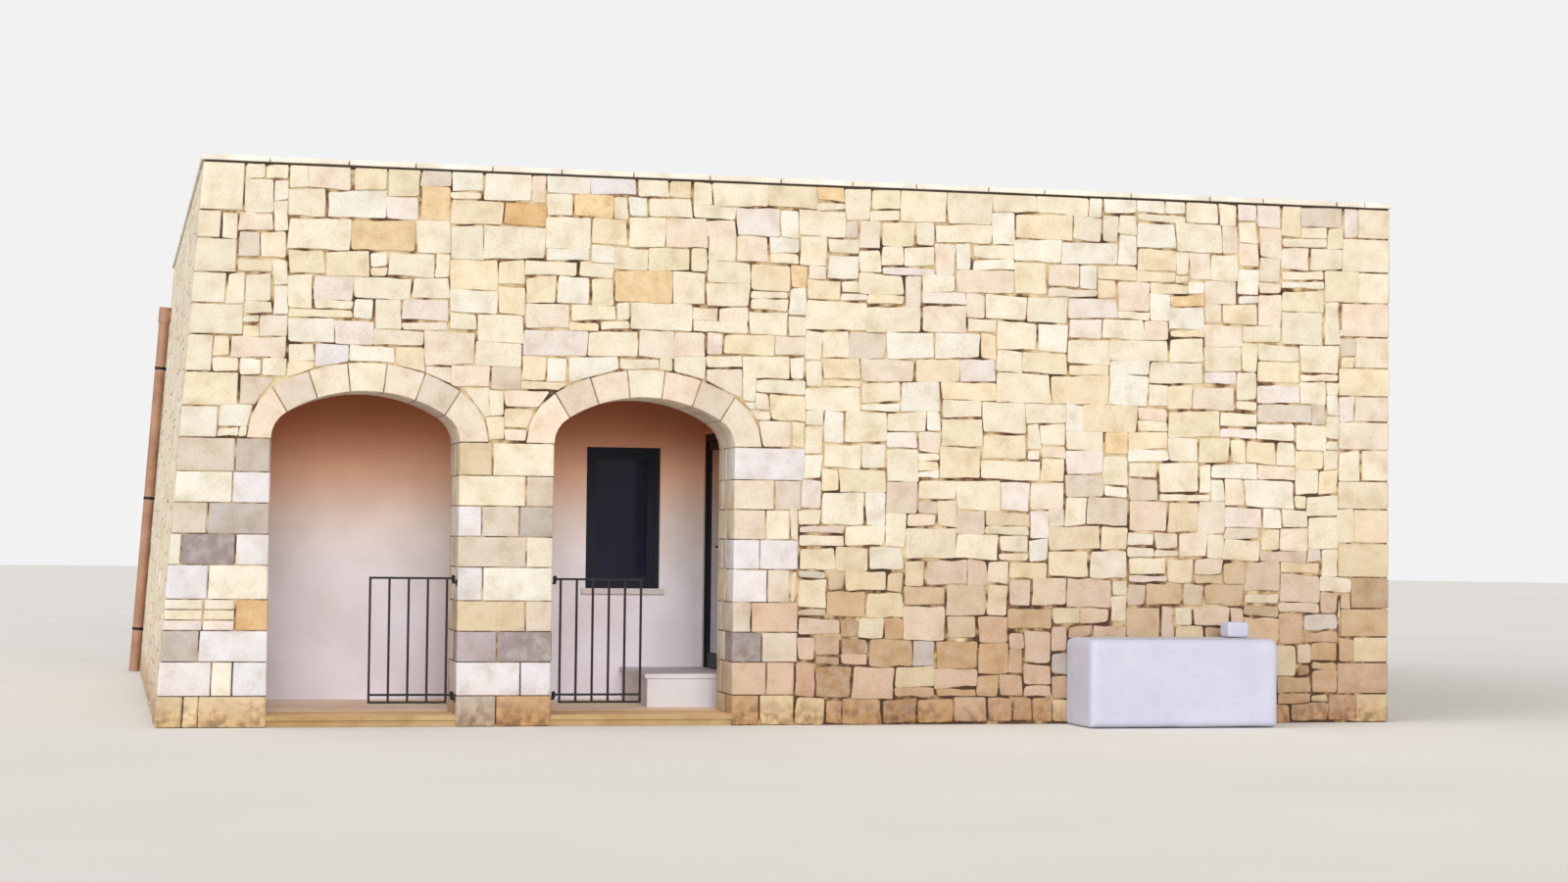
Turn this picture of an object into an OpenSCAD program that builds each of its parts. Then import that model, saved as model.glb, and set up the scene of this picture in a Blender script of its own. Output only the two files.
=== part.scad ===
/* [Walls] */
// Length of the front wall at the ground
house_w = 10620; // [10000:10:11500]
// Depth from the front face to the back face
house_d = 9800; // [9000:50:10500]
// Height of the masonry under the coping
wall_h = 4550; // [4400:10:4900]
// Thickness of the masonry walls
wall_t = 620; // [560:10:680]
// How far the left side leans in over its height
batter = 300; // [200:10:400]
// Distance from the foot of the left side to its upright inner face
left_wall_t = 770; // [740:10:820]
// Thickness of the coping slabs
coping_t = 50; // [40:5:80]
// How far the coping stands out past the walls
coping_reach = 30; // [10:5:40]

/* [Arches] */
// Width of the pier at the left corner
left_pier_w = 855; // [835:5:950]
// Clear width of each archway
arch_span = 1535; // [1400:5:1600]
// Width of the pier between the archways
middle_pier_w = 768; // [700:2:840]
// Width of the pier right of the archways
right_pier_w = 480; // [440:10:600]
// Height of the springing line
spring_z = 2320; // [2200:10:2400]
// Rise of the arch above the springing line
arch_rise = 405; // [380:5:440]
// Radius of the tight curve at each haunch
haunch_r = 260; // [200:10:300]
// Depth of the arch stones, from the curve outwards
ring_t = 230; // [180:10:240]
// Number of arch stones in each ring
ring_stones = 7; // [5:2:13]
// Width of the joint between arch stones
ring_joint_w = 12; // [8:1:16]
// Depth of the raked joint between arch stones
ring_joint_deep = 14; // [8:1:25]

/* [Porch] */
// Depth from the front face to the porch back wall
porch_d = 2200; // [2000:50:2400]
// Distance from the left corner to the porch return wall
return_x = 4890; // [4850:10:5000]
// Height of the porch floor
porch_floor_z = 90; // [70:5:120]
// Height of the porch ceiling
porch_ceiling_z = 3000; // [2900:10:3200]
// Thickness of the porch ceiling
porch_ceiling_t = 150; // [100:10:200]
// Thickness of the nosing slab on each threshold
nosing_t = 38; // [30:1:50]
// How far the riser stands back under the nosing
riser_back = 22; // [10:1:30]

/* [Floors and roof] */
// Height of the room floor and of the landing
room_floor_z = 380; // [340:10:400]
// Distance from the left corner to the landing
landing_x = 4130; // [4050:10:4250]
// Distance from the front face to the landing
landing_y = 930; // [900:10:1000]
// Height of the roof surface inside the parapet
roof_z = 3900; // [3800:10:4000]
// Thickness of the roof slab
roof_t = 250; // [200:10:300]

/* [Window] */
// Distance from the left corner to the window opening
window_x = 3810; // [3780:10:3900]
// Width of the window opening
window_w = 680; // [600:10:720]
// Height of the top of the window sill
window_sill_z = 1090; // [1000:10:1150]
// Height of the window opening above its sill
window_h = 1280; // [1100:10:1400]
// Thickness of the window sill
window_sill_t = 50; // [40:5:60]
// How far the window sill stands out
window_sill_reach = 40; // [30:5:60]
// Width of the window frame and sash bars
window_bar = 48; // [40:1:60]
// Width of the beads that hold the panes in the window and the door
bead_w = 14; // [10:1:18]

/* [Entrance door] */
// Distance from the front face to the doorway
door_y = 1250; // [1200:10:1260]
// Width of the doorway
door_w = 900; // [850:10:910]
// Height of the doorway above the room floor
door_h = 2120; // [2050:10:2200]
// Width of the door frame
door_frame_w = 50; // [45:1:60]
// Thickness of the door leaf
door_leaf_t = 45; // [40:1:50]
// Width of the stiles of the door leaf
door_stile = 80; // [70:5:100]
// Height of the bottom rail of the door leaf
door_bottom_rail = 120; // [100:5:160]
// Gap round the door leaf
door_gap = 6; // [5:0.5:8]
// Height of the handle above the room floor
handle_up = 1100; // [980:10:1150]

/* [Gates] */
// Height of the underside of the gates
gate_z = 185; // [170:5:220]
// Height of the top of the gates
gate_top_z = 1215; // [1100:5:1250]
// Side of the square gate bars
gate_bar = 18; // [14:1:24]
// Distance of the gates behind the front face
gate_y = 62; // [50:1:90]
// Length of the left gate between the centres of its end bars
left_gate_w = 625; // [560:5:640]
// Length of the right gate between the centres of its end bars
right_gate_w = 675; // [600:5:700]
// Distance from the hinge pin to the first bar
gate_hinge_reach = 49; // [45:1:70]
// Distance from the pier to the hinge pins
gate_pin_off = 36; // [30:1:40]

/* [Downpipe] */
// Outer diameter of the downpipe
pipe_d = 114; // [100:1:125]
// Wall thickness of the downpipe
pipe_wall = 4; // [3:0.5:6]
// Distance from the side wall to the centre of the downpipe
pipe_off = 76; // [70:1:90]

/* [Cistern] */
// Distance from the left corner to the cistern
cistern_x = 7620; // [7000:10:8000]
// Length of the cistern
cistern_w = 1700; // [1400:50:1900]
// How far the cistern stands out from the front wall
cistern_d = 660; // [560:10:740]
// Height of the cistern
cistern_h = 755; // [700:5:850]
// Radius of the upright corners of the cistern
cistern_r = 70; // [40:5:100]
// Radius of the top edges of the cistern
cistern_top_r = 40; // [20:5:60]
// Distance from the left end of the cistern to the small block on it
cap_from_left = 1330; // [1200:10:1400]
// Distance from the front of the cistern to the small block
cap_from_front = 250; // [150:10:350]
// Length of the small block on the cistern
cap_w = 200; // [160:10:240]
// Height of the small block on the cistern
cap_h = 135; // [100:5:160]
// Radius of the upright corners of the small block
cap_r = 25; // [10:5:40]

/* [Hidden] */
$fn = 48;

stone = "#e6d2a4";
arch_stone = "#e9d5ab";
plaster = "#d8cfcb";
ochre_stone = "#cfa868";
pale_stone = "#e4ddd0";
terracotta = "#a8664a";
iron = "#2b2a2c";
dark_frame = "#23252b";
glass_tint = "#1b2438";
limewash = "#e9e9f1";

// Places along the front wall
arch1_x = left_pier_w;
pier2_x = arch1_x + arch_span;
arch2_x = pier2_x + middle_pier_w;
pier3_x = arch2_x + arch_span;
wall3_x = pier3_x + right_pier_w;
inner_right_x = house_w - wall_t;
inner_back_y = house_d - wall_t;
return_back_x = return_x + wall_t;
porch_wall_back_y = porch_d + wall_t;
roof_under_z = roof_z - roof_t;
lean_angle = atan(batter / wall_h);

// The pipe foot, the cistern and the coping are the outermost points on plan
low_x = -(pipe_off + pipe_d / 2) / cos(lean_angle);
high_x = house_w + coping_reach;
low_y = -cistern_d;
high_y = house_d + coping_reach;
origin_x = (low_x + high_x) / 2;
origin_y = (low_y + high_y) / 2;

// Three-centred curve: the crown circle meets each haunch circle with no kink
half_span = arch_span / 2;
haunch_x = half_span - haunch_r;
rise_left = arch_rise - haunch_r;
crown_drop = (haunch_x * haunch_x - rise_left * rise_left) / (2 * rise_left);
crown_r = arch_rise + crown_drop;
haunch_turn = atan2(crown_drop, haunch_x);
haunch_length = haunch_r * haunch_turn * PI / 180;
crown_length = crown_r * (180 - 2 * haunch_turn) * PI / 180;
curve_length = 2 * haunch_length + crown_length;
curve_step = 6;

// Door and its hinge
doorway_top_z = room_floor_z + door_h;
door_face_x = return_x + 18;
door_room_x = door_face_x + door_leaf_t;
door_stop_x = return_x + 5;
door_stop_reach = 14;
leaf_y0 = door_y + door_frame_w + door_gap;
leaf_y1 = door_y + door_w - door_frame_w - door_gap;
leaf_z0 = room_floor_z + 10;
leaf_z1 = doorway_top_z - door_frame_w - door_gap;
glass_t = 20;
bead_t = 8;
glass_x = door_face_x + (door_leaf_t - glass_t) / 2;
hinge_r = 8;
hinge_x = door_room_x + hinge_r + 1;
hinge_y = leaf_y1 + door_gap / 2;
hinge_flap_t = 4;
hinge_flap_w = 28;
hinge_half = 45;
hinge_heights = [room_floor_z + 250, room_floor_z + 1040, room_floor_z + 1830];
handle_z = room_floor_z + handle_up;
handle_y = leaf_y0 + door_stile / 2;
rose_r = 24;
rose_t = 8;
neck_r = 8;
neck_l = 60;
lever_l = 125;
lever_h = 20;
lever_t = 12;

// Window, set back from the porch plaster
window_set = 40;
window_frame_t = 70;
window_sash_t = 45;
window_y = porch_d + window_set;
sash_y = window_y + 12;
pane_y = sash_y + (window_sash_t - glass_t) / 2;

// Gates and the pins that they hang on
left_pin_x = pier2_x - gate_pin_off;
right_pin_x = arch2_x + gate_pin_off;
gate_lower_rail_z = gate_z + 70;
left_gate_bars = 5;
right_gate_bars = 6;
pin_r = 8;
eye_bore_r = 9;
eye_r = 16;
eye_h = 44;
eye_heights = [gate_lower_rail_z, gate_top_z - gate_bar / 2];
plate_w = 56;
plate_t = 12;
pintle_gap = 1;

// Downpipe, in the plane that leans with the side wall
pipe_r = pipe_d / 2;
pipe_y = inner_back_y - 120;
head_r = pipe_r + 10;
head_under = 95;
head_over = 82;
outlet_z = roof_z + pipe_r + 5;
head_z = (outlet_z - pipe_off * sin(lean_angle)) / cos(lean_angle);
outlet_x = head_z * sin(lean_angle) - pipe_off * cos(lean_angle);
clamp_heights = [450, 1900, 3350];
clamp_h = 30;
clamp_t = 4;
stem_w = 24;

function lean(z) = batter * z / wall_h;

// Points of the arch curve, pushed outwards by off, between two turns from the
// right springing (0) over the crown (90) to the left springing (180)
function arch_point(turn, off) =
    turn < haunch_turn
        ? [haunch_x + (haunch_r + off) * cos(turn), (haunch_r + off) * sin(turn)]
        : turn > 180 - haunch_turn
            ? [-haunch_x + (haunch_r + off) * cos(turn), (haunch_r + off) * sin(turn)]
            : [(crown_r + off) * cos(turn), (crown_r + off) * sin(turn) - crown_drop];

// Turn at which the curve has run the given length from the right springing
function turn_at(length) =
    length < haunch_length
        ? length / haunch_r * 180 / PI
        : length > curve_length - haunch_length
            ? 180 - (curve_length - length) / haunch_r * 180 / PI
            : haunch_turn + (length - haunch_length) / crown_r * 180 / PI;

function arch_curve(from_turn, to_turn, off) = [
    for (i = [0 : round((to_turn - from_turn) / curve_step)])
        arch_point(from_turn + i * (to_turn - from_turn) / round((to_turn - from_turn) / curve_step), off)
];

function corner_arc(cx, cy, r, start) =
    [for (i = [0 : 6]) [cx + r * cos(start + 15 * i), cy + r * sin(start + 15 * i)]];

function rounded_rectangle(x0, y0, x1, y1, r) = concat(
    corner_arc(x1 - r, y1 - r, r, 0), corner_arc(x0 + r, y1 - r, r, 90),
    corner_arc(x0 + r, y0 + r, r, 180), corner_arc(x1 - r, y0 + r, r, 270)
);

module placed() {
    translate([-origin_x, -origin_y, 0]) children();
}

module block(low, high) {
    translate(low) cube(high - low);
}

// Outline drawn in X and Z, drawn out along Y
module along_y(y0, y1) {
    translate([0, y1, 0]) rotate([90, 0, 0]) linear_extrude(y1 - y0) children();
}

// Outline drawn in Y and Z, drawn out along X
module along_x(x0, x1) {
    translate([x0, 0, 0]) rotate([90, 0, 90]) linear_extrude(x1 - x0) children();
}

// Places its children on the leaning face of the left side wall
module on_left_face() {
    translate([0, pipe_y, 0]) rotate([0, lean_angle, 0]) children();
}

module arch_area(off) {
    polygon(arch_curve(0, 180, off));
}

module arch_ring(x0) {
    middle = x0 + half_span;
    difference() {
        along_y(0, wall_t) translate([middle, spring_z]) difference() {
            arch_area(ring_t);
            arch_area(0);
        }
        for (i = [1 : ring_stones - 1]) translate([middle, 0, spring_z])
            ring_joint(turn_at(i * curve_length / ring_stones));
    }
}

// Raked joint in the front, the back and the underside of the ring
module ring_joint(turn) {
    foot = arch_point(turn, 0);
    translate([foot[0], 0, foot[1]]) rotate([0, -turn, 0])
        difference() {
            block([-ring_t / 4, -1, -ring_joint_w / 2], [ring_t + 30, wall_t + 1, ring_joint_w / 2]);
            block(
                [ring_joint_deep, ring_joint_deep, -ring_joint_w],
                [ring_t + 60, wall_t - ring_joint_deep, ring_joint_w]
            );
        }
}

module left_pier() {
    color(stone) placed() along_y(0, wall_t) polygon([
        [0, 0], [left_pier_w, 0], [left_pier_w, spring_z], [lean(spring_z), spring_z]
    ]);
}

module middle_pier() {
    color(stone) placed() block([pier2_x, 0, 0], [arch2_x, wall_t, spring_z]);
}

module right_pier() {
    color(stone) placed() block([pier3_x, 0, 0], [wall3_x, wall_t, spring_z]);
}

module front_wall_upper() {
    color(stone) placed() along_y(0, wall_t) difference() {
        polygon([[lean(spring_z), spring_z], [wall3_x, spring_z], [wall3_x, wall_h], [batter, wall_h]]);
        for (x = [arch1_x, arch2_x])
            translate([x + half_span, spring_z]) arch_area(ring_t);
    }
}

module front_wall_right() {
    color(stone) placed() block([wall3_x, 0, 0], [house_w, wall_t, wall_h]);
}

module left_arch() {
    color(arch_stone) placed() arch_ring(arch1_x);
}

module right_arch() {
    color(arch_stone) placed() arch_ring(arch2_x);
}

module left_side_wall() {
    color(stone) placed() difference() {
        along_y(wall_t, inner_back_y)
            polygon([[0, 0], [left_wall_t, 0], [left_wall_t, wall_h], [batter, wall_h]]);
        translate([-1, pipe_y, outlet_z]) rotate([0, 90, 0]) cylinder(r = pipe_r, h = left_wall_t + 2);
    }
}

module right_side_wall() {
    color(stone) placed() block([inner_right_x, wall_t, 0], [house_w, inner_back_y, wall_h]);
}

module back_wall() {
    color(stone) placed() along_y(inner_back_y, house_d)
        polygon([[0, 0], [house_w, 0], [house_w, wall_h], [batter, wall_h]]);
}

module coping_slab(x0, x1, y0, y1) {
    placed() block([x0, y0, wall_h], [x1, y1, wall_h + coping_t]);
}

module front_coping() {
    color(pale_stone) coping_slab(batter - coping_reach, high_x, -coping_reach, wall_t + coping_reach);
}

module back_coping() {
    color(pale_stone) coping_slab(batter - coping_reach, high_x, inner_back_y - coping_reach, high_y);
}

module left_coping() {
    color(pale_stone) coping_slab(
        batter - coping_reach, left_wall_t + coping_reach,
        wall_t + coping_reach, inner_back_y - coping_reach
    );
}

module right_coping() {
    color(pale_stone) coping_slab(
        inner_right_x - coping_reach, high_x, wall_t + coping_reach, inner_back_y - coping_reach
    );
}

module porch_back_wall() {
    color(plaster) placed() difference() {
        block([left_wall_t, porch_d, 0], [return_x, porch_wall_back_y, roof_under_z]);
        block(
            [window_x, porch_d - 1, window_sill_z - window_sill_t],
            [window_x + window_w, porch_wall_back_y + 1, window_sill_z + window_h]
        );
    }
}

module return_wall_front() {
    color(plaster) placed() block([return_x, wall_t, 0], [return_back_x, door_y, roof_under_z]);
}

module return_wall_back() {
    color(plaster) placed()
        block([return_x, door_y + door_w, 0], [return_back_x, porch_wall_back_y, roof_under_z]);
}

module return_wall_over_door() {
    color(plaster) placed()
        block([return_x, door_y, doorway_top_z], [return_back_x, door_y + door_w, roof_under_z]);
}

module door_sill() {
    color(pale_stone) placed() block([return_x, door_y, 0], [return_back_x, door_y + door_w, room_floor_z]);
}

module porch_floor() {
    color(ochre_stone) placed() block([left_wall_t, wall_t, 0], [return_x, porch_d, porch_floor_z]);
}

// Riser under a nosing slab, seen from the side
module threshold(x0) {
    color(ochre_stone) placed() along_x(x0, x0 + arch_span) polygon([
        [riser_back, 0], [wall_t, 0], [wall_t, porch_floor_z], [0, porch_floor_z],
        [0, porch_floor_z - nosing_t], [riser_back, porch_floor_z - nosing_t]
    ]);
}

module left_threshold() {
    threshold(arch1_x);
}

module right_threshold() {
    threshold(arch2_x);
}

// Raised block under a nosing slab that stands out on its two open sides
module entrance_landing() {
    color(pale_stone) placed() {
        block(
            [landing_x + riser_back, landing_y + riser_back, porch_floor_z],
            [return_x, porch_d, room_floor_z - nosing_t / 2]
        );
        block([landing_x, landing_y, room_floor_z - nosing_t], [return_x, porch_d, room_floor_z]);
    }
}

module room_floor_front() {
    color(ochre_stone) placed()
        block([return_back_x, wall_t, 0], [inner_right_x, porch_wall_back_y, room_floor_z]);
}

module room_floor_back() {
    color(ochre_stone) placed()
        block([left_wall_t, porch_wall_back_y, 0], [inner_right_x, inner_back_y, room_floor_z]);
}

module porch_ceiling() {
    color(terracotta) placed() block(
        [left_wall_t, wall_t, porch_ceiling_z], [return_x, porch_d, porch_ceiling_z + porch_ceiling_t]
    );
}

module roof_slab() {
    color(pale_stone) placed()
        block([left_wall_t, wall_t, roof_under_z], [inner_right_x, inner_back_y, roof_z]);
}

// Rectangular frame in X and Z, with bars of one width
module frame_outline(x0, z0, x1, z1, bar) {
    difference() {
        translate([x0, z0]) square([x1 - x0, z1 - z0]);
        translate([x0 + bar, z0 + bar]) square([x1 - x0 - 2 * bar, z1 - z0 - 2 * bar]);
    }
}

module window_frame() {
    color(dark_frame) placed() along_y(window_y, window_y + window_frame_t)
        frame_outline(window_x, window_sill_z, window_x + window_w, window_sill_z + window_h, window_bar);
}

// Sash with a bead on each side of the pane
module window_sash() {
    sash_x1 = window_x + window_w - window_bar;
    sash_z1 = window_sill_z + window_h - window_bar;
    color(dark_frame) placed() {
        along_y(sash_y, sash_y + window_sash_t) frame_outline(
            window_x + window_bar, window_sill_z + window_bar, sash_x1, sash_z1, window_bar
        );
        for (y = [pane_y - bead_t, pane_y + glass_t]) along_y(y, y + bead_t) frame_outline(
            window_x + 2 * window_bar - 1, window_sill_z + 2 * window_bar - 1,
            sash_x1 - window_bar + 1, sash_z1 - window_bar + 1, bead_w + 1
        );
    }
}

module window_glass() {
    color(glass_tint) placed() block(
        [window_x + 2 * window_bar, pane_y, window_sill_z + 2 * window_bar],
        [window_x + window_w - 2 * window_bar, pane_y + glass_t, window_sill_z + window_h - 2 * window_bar]
    );
}

module window_sill() {
    color(pale_stone) placed() {
        block(
            [window_x, porch_d - 1, window_sill_z - window_sill_t],
            [window_x + window_w, porch_wall_back_y, window_sill_z]
        );
        block(
            [window_x - window_sill_reach, porch_d - window_sill_reach, window_sill_z - window_sill_t],
            [window_x + window_w + window_sill_reach, porch_d, window_sill_z]
        );
    }
}

// Half of a hinge: the knuckle and its flap, on the leaf (side -1) or the frame (side 1)
module hinge_half(z0, side) {
    translate([hinge_x, hinge_y, z0]) cylinder(r = hinge_r, h = hinge_half - pintle_gap);
    block(
        [door_room_x, min(hinge_y, hinge_y + side * hinge_flap_w), z0],
        [
            door_room_x + hinge_flap_t, max(hinge_y, hinge_y + side * hinge_flap_w),
            z0 + hinge_half - pintle_gap
        ]
    );
}

module door_frame() {
    y1 = door_y + door_w;
    color(dark_frame) placed() {
        along_x(door_stop_x, door_room_x) difference() {
            translate([door_y, room_floor_z]) square([door_w, door_h]);
            translate([door_y + door_frame_w, room_floor_z - 1])
                square([door_w - 2 * door_frame_w, door_h - door_frame_w + 1]);
        }
        along_x(door_stop_x, door_face_x - door_gap) difference() {
            translate([door_y + 1, room_floor_z]) square([door_w - 2, door_h - 1]);
            translate([door_y + door_frame_w + door_stop_reach, room_floor_z - 1]) square([
                door_w - 2 * door_frame_w - 2 * door_stop_reach,
                door_h - door_frame_w - door_stop_reach + 1
            ]);
        }
        for (z = hinge_heights) hinge_half(z - hinge_half, 1);
    }
}

module door_leaf() {
    color(dark_frame) placed() {
        along_x(door_face_x, door_room_x) difference() {
            translate([leaf_y0, leaf_z0]) square([leaf_y1 - leaf_y0, leaf_z1 - leaf_z0]);
            translate([leaf_y0 + door_stile, leaf_z0 + door_bottom_rail]) square([
                leaf_y1 - leaf_y0 - 2 * door_stile, leaf_z1 - leaf_z0 - door_bottom_rail - door_stile
            ]);
        }
        for (x = [glass_x - bead_t, glass_x + glass_t]) along_x(x, x + bead_t) frame_outline(
            leaf_y0 + door_stile - 1, leaf_z0 + door_bottom_rail - 1,
            leaf_y1 - door_stile + 1, leaf_z1 - door_stile + 1, bead_w + 1
        );
        for (z = hinge_heights) hinge_half(z, -1);
    }
}

module door_glass() {
    color(glass_tint) placed() block(
        [glass_x, leaf_y0 + door_stile, leaf_z0 + door_bottom_rail],
        [glass_x + glass_t, leaf_y1 - door_stile, leaf_z1 - door_stile]
    );
}

// Rose, neck and lever on one face of the door, pointing to out (-1 porch, 1 room)
module lever_handle(face_x, out) {
    translate([face_x, handle_y, handle_z]) rotate([0, 90 * out, 0]) {
        cylinder(r = rose_r, h = rose_t);
        cylinder(r = neck_r, h = neck_l);
    }
    block(
        [face_x + min(out * neck_l, out * (neck_l - lever_t)), handle_y - neck_r, handle_z - lever_h / 2],
        [
            face_x + max(out * neck_l, out * (neck_l - lever_t)), handle_y + lever_l,
            handle_z + lever_h / 2
        ]
    );
}

module door_handle() {
    color(iron) placed() {
        lever_handle(door_face_x, -1);
        lever_handle(door_room_x, 1);
    }
}

module hinge_eye(pin_x) {
    for (z = eye_heights) translate([pin_x, gate_y, z - eye_h / 2]) children();
}

// Gate that hangs on pins at pin_x and reaches to side (-1 left, 1 right)
module bar_gate(pin_x, length, bars, side) {
    first = pin_x + side * gate_hinge_reach;
    last = first + side * length;
    half = gate_bar / 2;
    color(iron) placed() difference() {
        union() {
            for (i = [0 : bars - 1]) {
                x = first + (last - first) * i / (bars - 1);
                block([x - half, gate_y - half, gate_z], [x + half, gate_y + half, gate_top_z]);
            }
            block(
                [min(first, last), gate_y - half, gate_z],
                [max(first, last), gate_y + half, gate_z + gate_bar]
            );
            for (z = eye_heights) block(
                [min(pin_x, last), gate_y - half, z - half], [max(pin_x, last), gate_y + half, z + half]
            );
            hinge_eye(pin_x) cylinder(r = eye_r, h = eye_h);
        }
        hinge_eye(pin_x) translate([0, 0, -1]) cylinder(r = eye_bore_r, h = eye_h + 2);
    }
}

module left_gate() {
    bar_gate(left_pin_x, left_gate_w, left_gate_bars, -1);
}

module right_gate() {
    bar_gate(right_pin_x, right_gate_w, right_gate_bars, 1);
}

// Wall plate, arm and upright pin under each hinge eye
module gate_pintles(pier_x, side) {
    pin_x = pier_x + side * gate_pin_off;
    arm_r = pin_r + 2;
    color(iron) placed() hinge_eye(pin_x) translate([0, 0, -pintle_gap]) {
        translate([0, 0, -2 * arm_r]) cylinder(r = arm_r, h = 2 * arm_r);
        cylinder(r = pin_r, h = eye_h + 8);
        translate([0, 0, -arm_r]) rotate([0, -90 * side, 0]) cylinder(r = arm_r, h = gate_pin_off - 1);
        block(
            [min(-side * gate_pin_off, -side * (gate_pin_off - plate_t)), -plate_w / 2, -arm_r - plate_w / 2],
            [max(-side * gate_pin_off, -side * (gate_pin_off - plate_t)), plate_w / 2, -arm_r + plate_w / 2]
        );
    }
}

module left_gate_pintles() {
    gate_pintles(pier2_x, -1);
}

module right_gate_pintles() {
    gate_pintles(arch2_x, 1);
}

// Pipe, closed round head and roof outlet, all made smaller by inset to give the bore
module pipe_run(inset) {
    on_left_face() translate([-pipe_off, 0, 0]) {
        translate([0, 0, -50]) cylinder(r = pipe_r - inset, h = head_z);
        translate([0, 0, head_z - head_under + inset])
            cylinder(r = head_r - inset, h = head_under + head_over - 2 * inset);
    }
    translate([outlet_x, pipe_y, outlet_z]) rotate([0, 90, 0])
        cylinder(r = pipe_r - inset, h = left_wall_t - outlet_x + inset);
}

module downpipe() {
    color(terracotta) placed() difference() {
        pipe_run(0);
        pipe_run(pipe_wall);
        block([low_x - 100, pipe_y - 200, -200], [200, pipe_y + 200, 0]);
    }
}

// Clamp ring round the pipe, with a stem to the wall
module downpipe_brackets() {
    color(iron) placed() on_left_face() for (z = clamp_heights) translate([0, 0, z]) difference() {
        union() {
            translate([-pipe_off, 0, 0]) cylinder(r = pipe_r + clamp_t, h = clamp_h);
            block([-pipe_off, -stem_w / 2, 0], [0, stem_w / 2, clamp_h]);
        }
        translate([-pipe_off, 0, -1]) cylinder(r = pipe_r, h = clamp_h + 2);
    }
}

// Upright outline with square feet and rounded top corners
function round_topped(x0, x1, top, r) =
    concat([[x0, 0], [x1, 0]], corner_arc(x1 - r, top - r, r, 0), corner_arc(x0 + r, top - r, r, 90));

// Block with rounded upright corners, its top edges softened on the front and both ends
module cistern() {
    x1 = cistern_x + cistern_w;
    color(limewash) placed() intersection() {
        linear_extrude(cistern_h) polygon(rounded_rectangle(cistern_x, -cistern_d, x1, cistern_r, cistern_r));
        along_y(-cistern_d, 0) polygon(round_topped(cistern_x, x1, cistern_h, cistern_top_r));
        along_x(cistern_x, x1) polygon(round_topped(-cistern_d, cistern_top_r, cistern_h, cistern_top_r));
    }
}

module cistern_cap() {
    x0 = cistern_x + cap_from_left;
    y0 = cap_from_front - cistern_d;
    color(limewash) placed() translate([0, 0, cistern_h]) linear_extrude(cap_h)
        polygon(rounded_rectangle(x0, y0, x0 + cap_w, y0 + cap_w, cap_r));
}

left_pier();
middle_pier();
right_pier();
front_wall_upper();
front_wall_right();
left_arch();
right_arch();
left_side_wall();
right_side_wall();
back_wall();
front_coping();
left_coping();
right_coping();
back_coping();
porch_back_wall();
return_wall_front();
return_wall_back();
return_wall_over_door();
door_sill();
porch_floor();
left_threshold();
right_threshold();
entrance_landing();
room_floor_front();
room_floor_back();
porch_ceiling();
roof_slab();
window_frame();
window_sash();
window_glass();
window_sill();
door_frame();
door_leaf();
door_glass();
door_handle();
left_gate();
right_gate();
left_gate_pintles();
right_gate_pintles();
downpipe();
downpipe_brackets();
cistern();
cistern_cap();
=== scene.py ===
import math
import random
from functools import partial

import bpy
import numpy as np
from mathutils import Matrix, Vector, noise


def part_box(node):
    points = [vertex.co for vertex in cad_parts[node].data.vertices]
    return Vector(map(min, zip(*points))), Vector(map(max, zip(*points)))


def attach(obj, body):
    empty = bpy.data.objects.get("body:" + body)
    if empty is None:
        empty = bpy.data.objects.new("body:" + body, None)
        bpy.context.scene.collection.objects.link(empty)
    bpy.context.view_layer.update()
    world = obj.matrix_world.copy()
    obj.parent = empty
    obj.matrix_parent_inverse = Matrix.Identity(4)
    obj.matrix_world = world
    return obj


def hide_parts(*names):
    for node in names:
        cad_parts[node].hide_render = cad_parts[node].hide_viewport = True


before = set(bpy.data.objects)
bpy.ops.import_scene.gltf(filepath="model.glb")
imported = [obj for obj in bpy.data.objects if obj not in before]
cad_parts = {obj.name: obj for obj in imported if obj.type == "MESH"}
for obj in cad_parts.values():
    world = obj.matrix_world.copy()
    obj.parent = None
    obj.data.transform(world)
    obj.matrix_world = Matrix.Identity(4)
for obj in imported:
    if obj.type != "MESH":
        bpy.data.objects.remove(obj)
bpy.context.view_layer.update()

bpy.ops.object.select_all(action="DESELECT")


def low(node):
    """The lowest corner of a node's box."""
    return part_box(node)[0]


def high(node):
    """The highest corner of a node's box."""
    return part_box(node)[1]


# Places that the frame gives, in metres
LEFT_FOOT = low("back_wall").x
RIGHT = high("right_side_wall").x
FRONT = low("front_wall_right").y
BACK = high("back_wall").y
WALL_TOP = high("back_wall").z
LENGTH = RIGHT - LEFT_FOOT
DEPTH = BACK - FRONT
WALL = high("front_wall_right").y - FRONT
SPRING = low("front_wall_upper").z
LEAN = (low("front_wall_upper").x - LEFT_FOOT) / SPRING
ROOM_LOW = low("roof_slab")
ROOM_HIGH = high("roof_slab")

# Distances along the front wall from its left foot
PIER_EDGES = [high("left_pier").x, low("middle_pier").x, high("middle_pier").x, low("right_pier").x]
PIER_1, PIER_2, PIER_2_END, PIER_3 = [edge - LEFT_FOOT for edge in PIER_EDGES]

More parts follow.
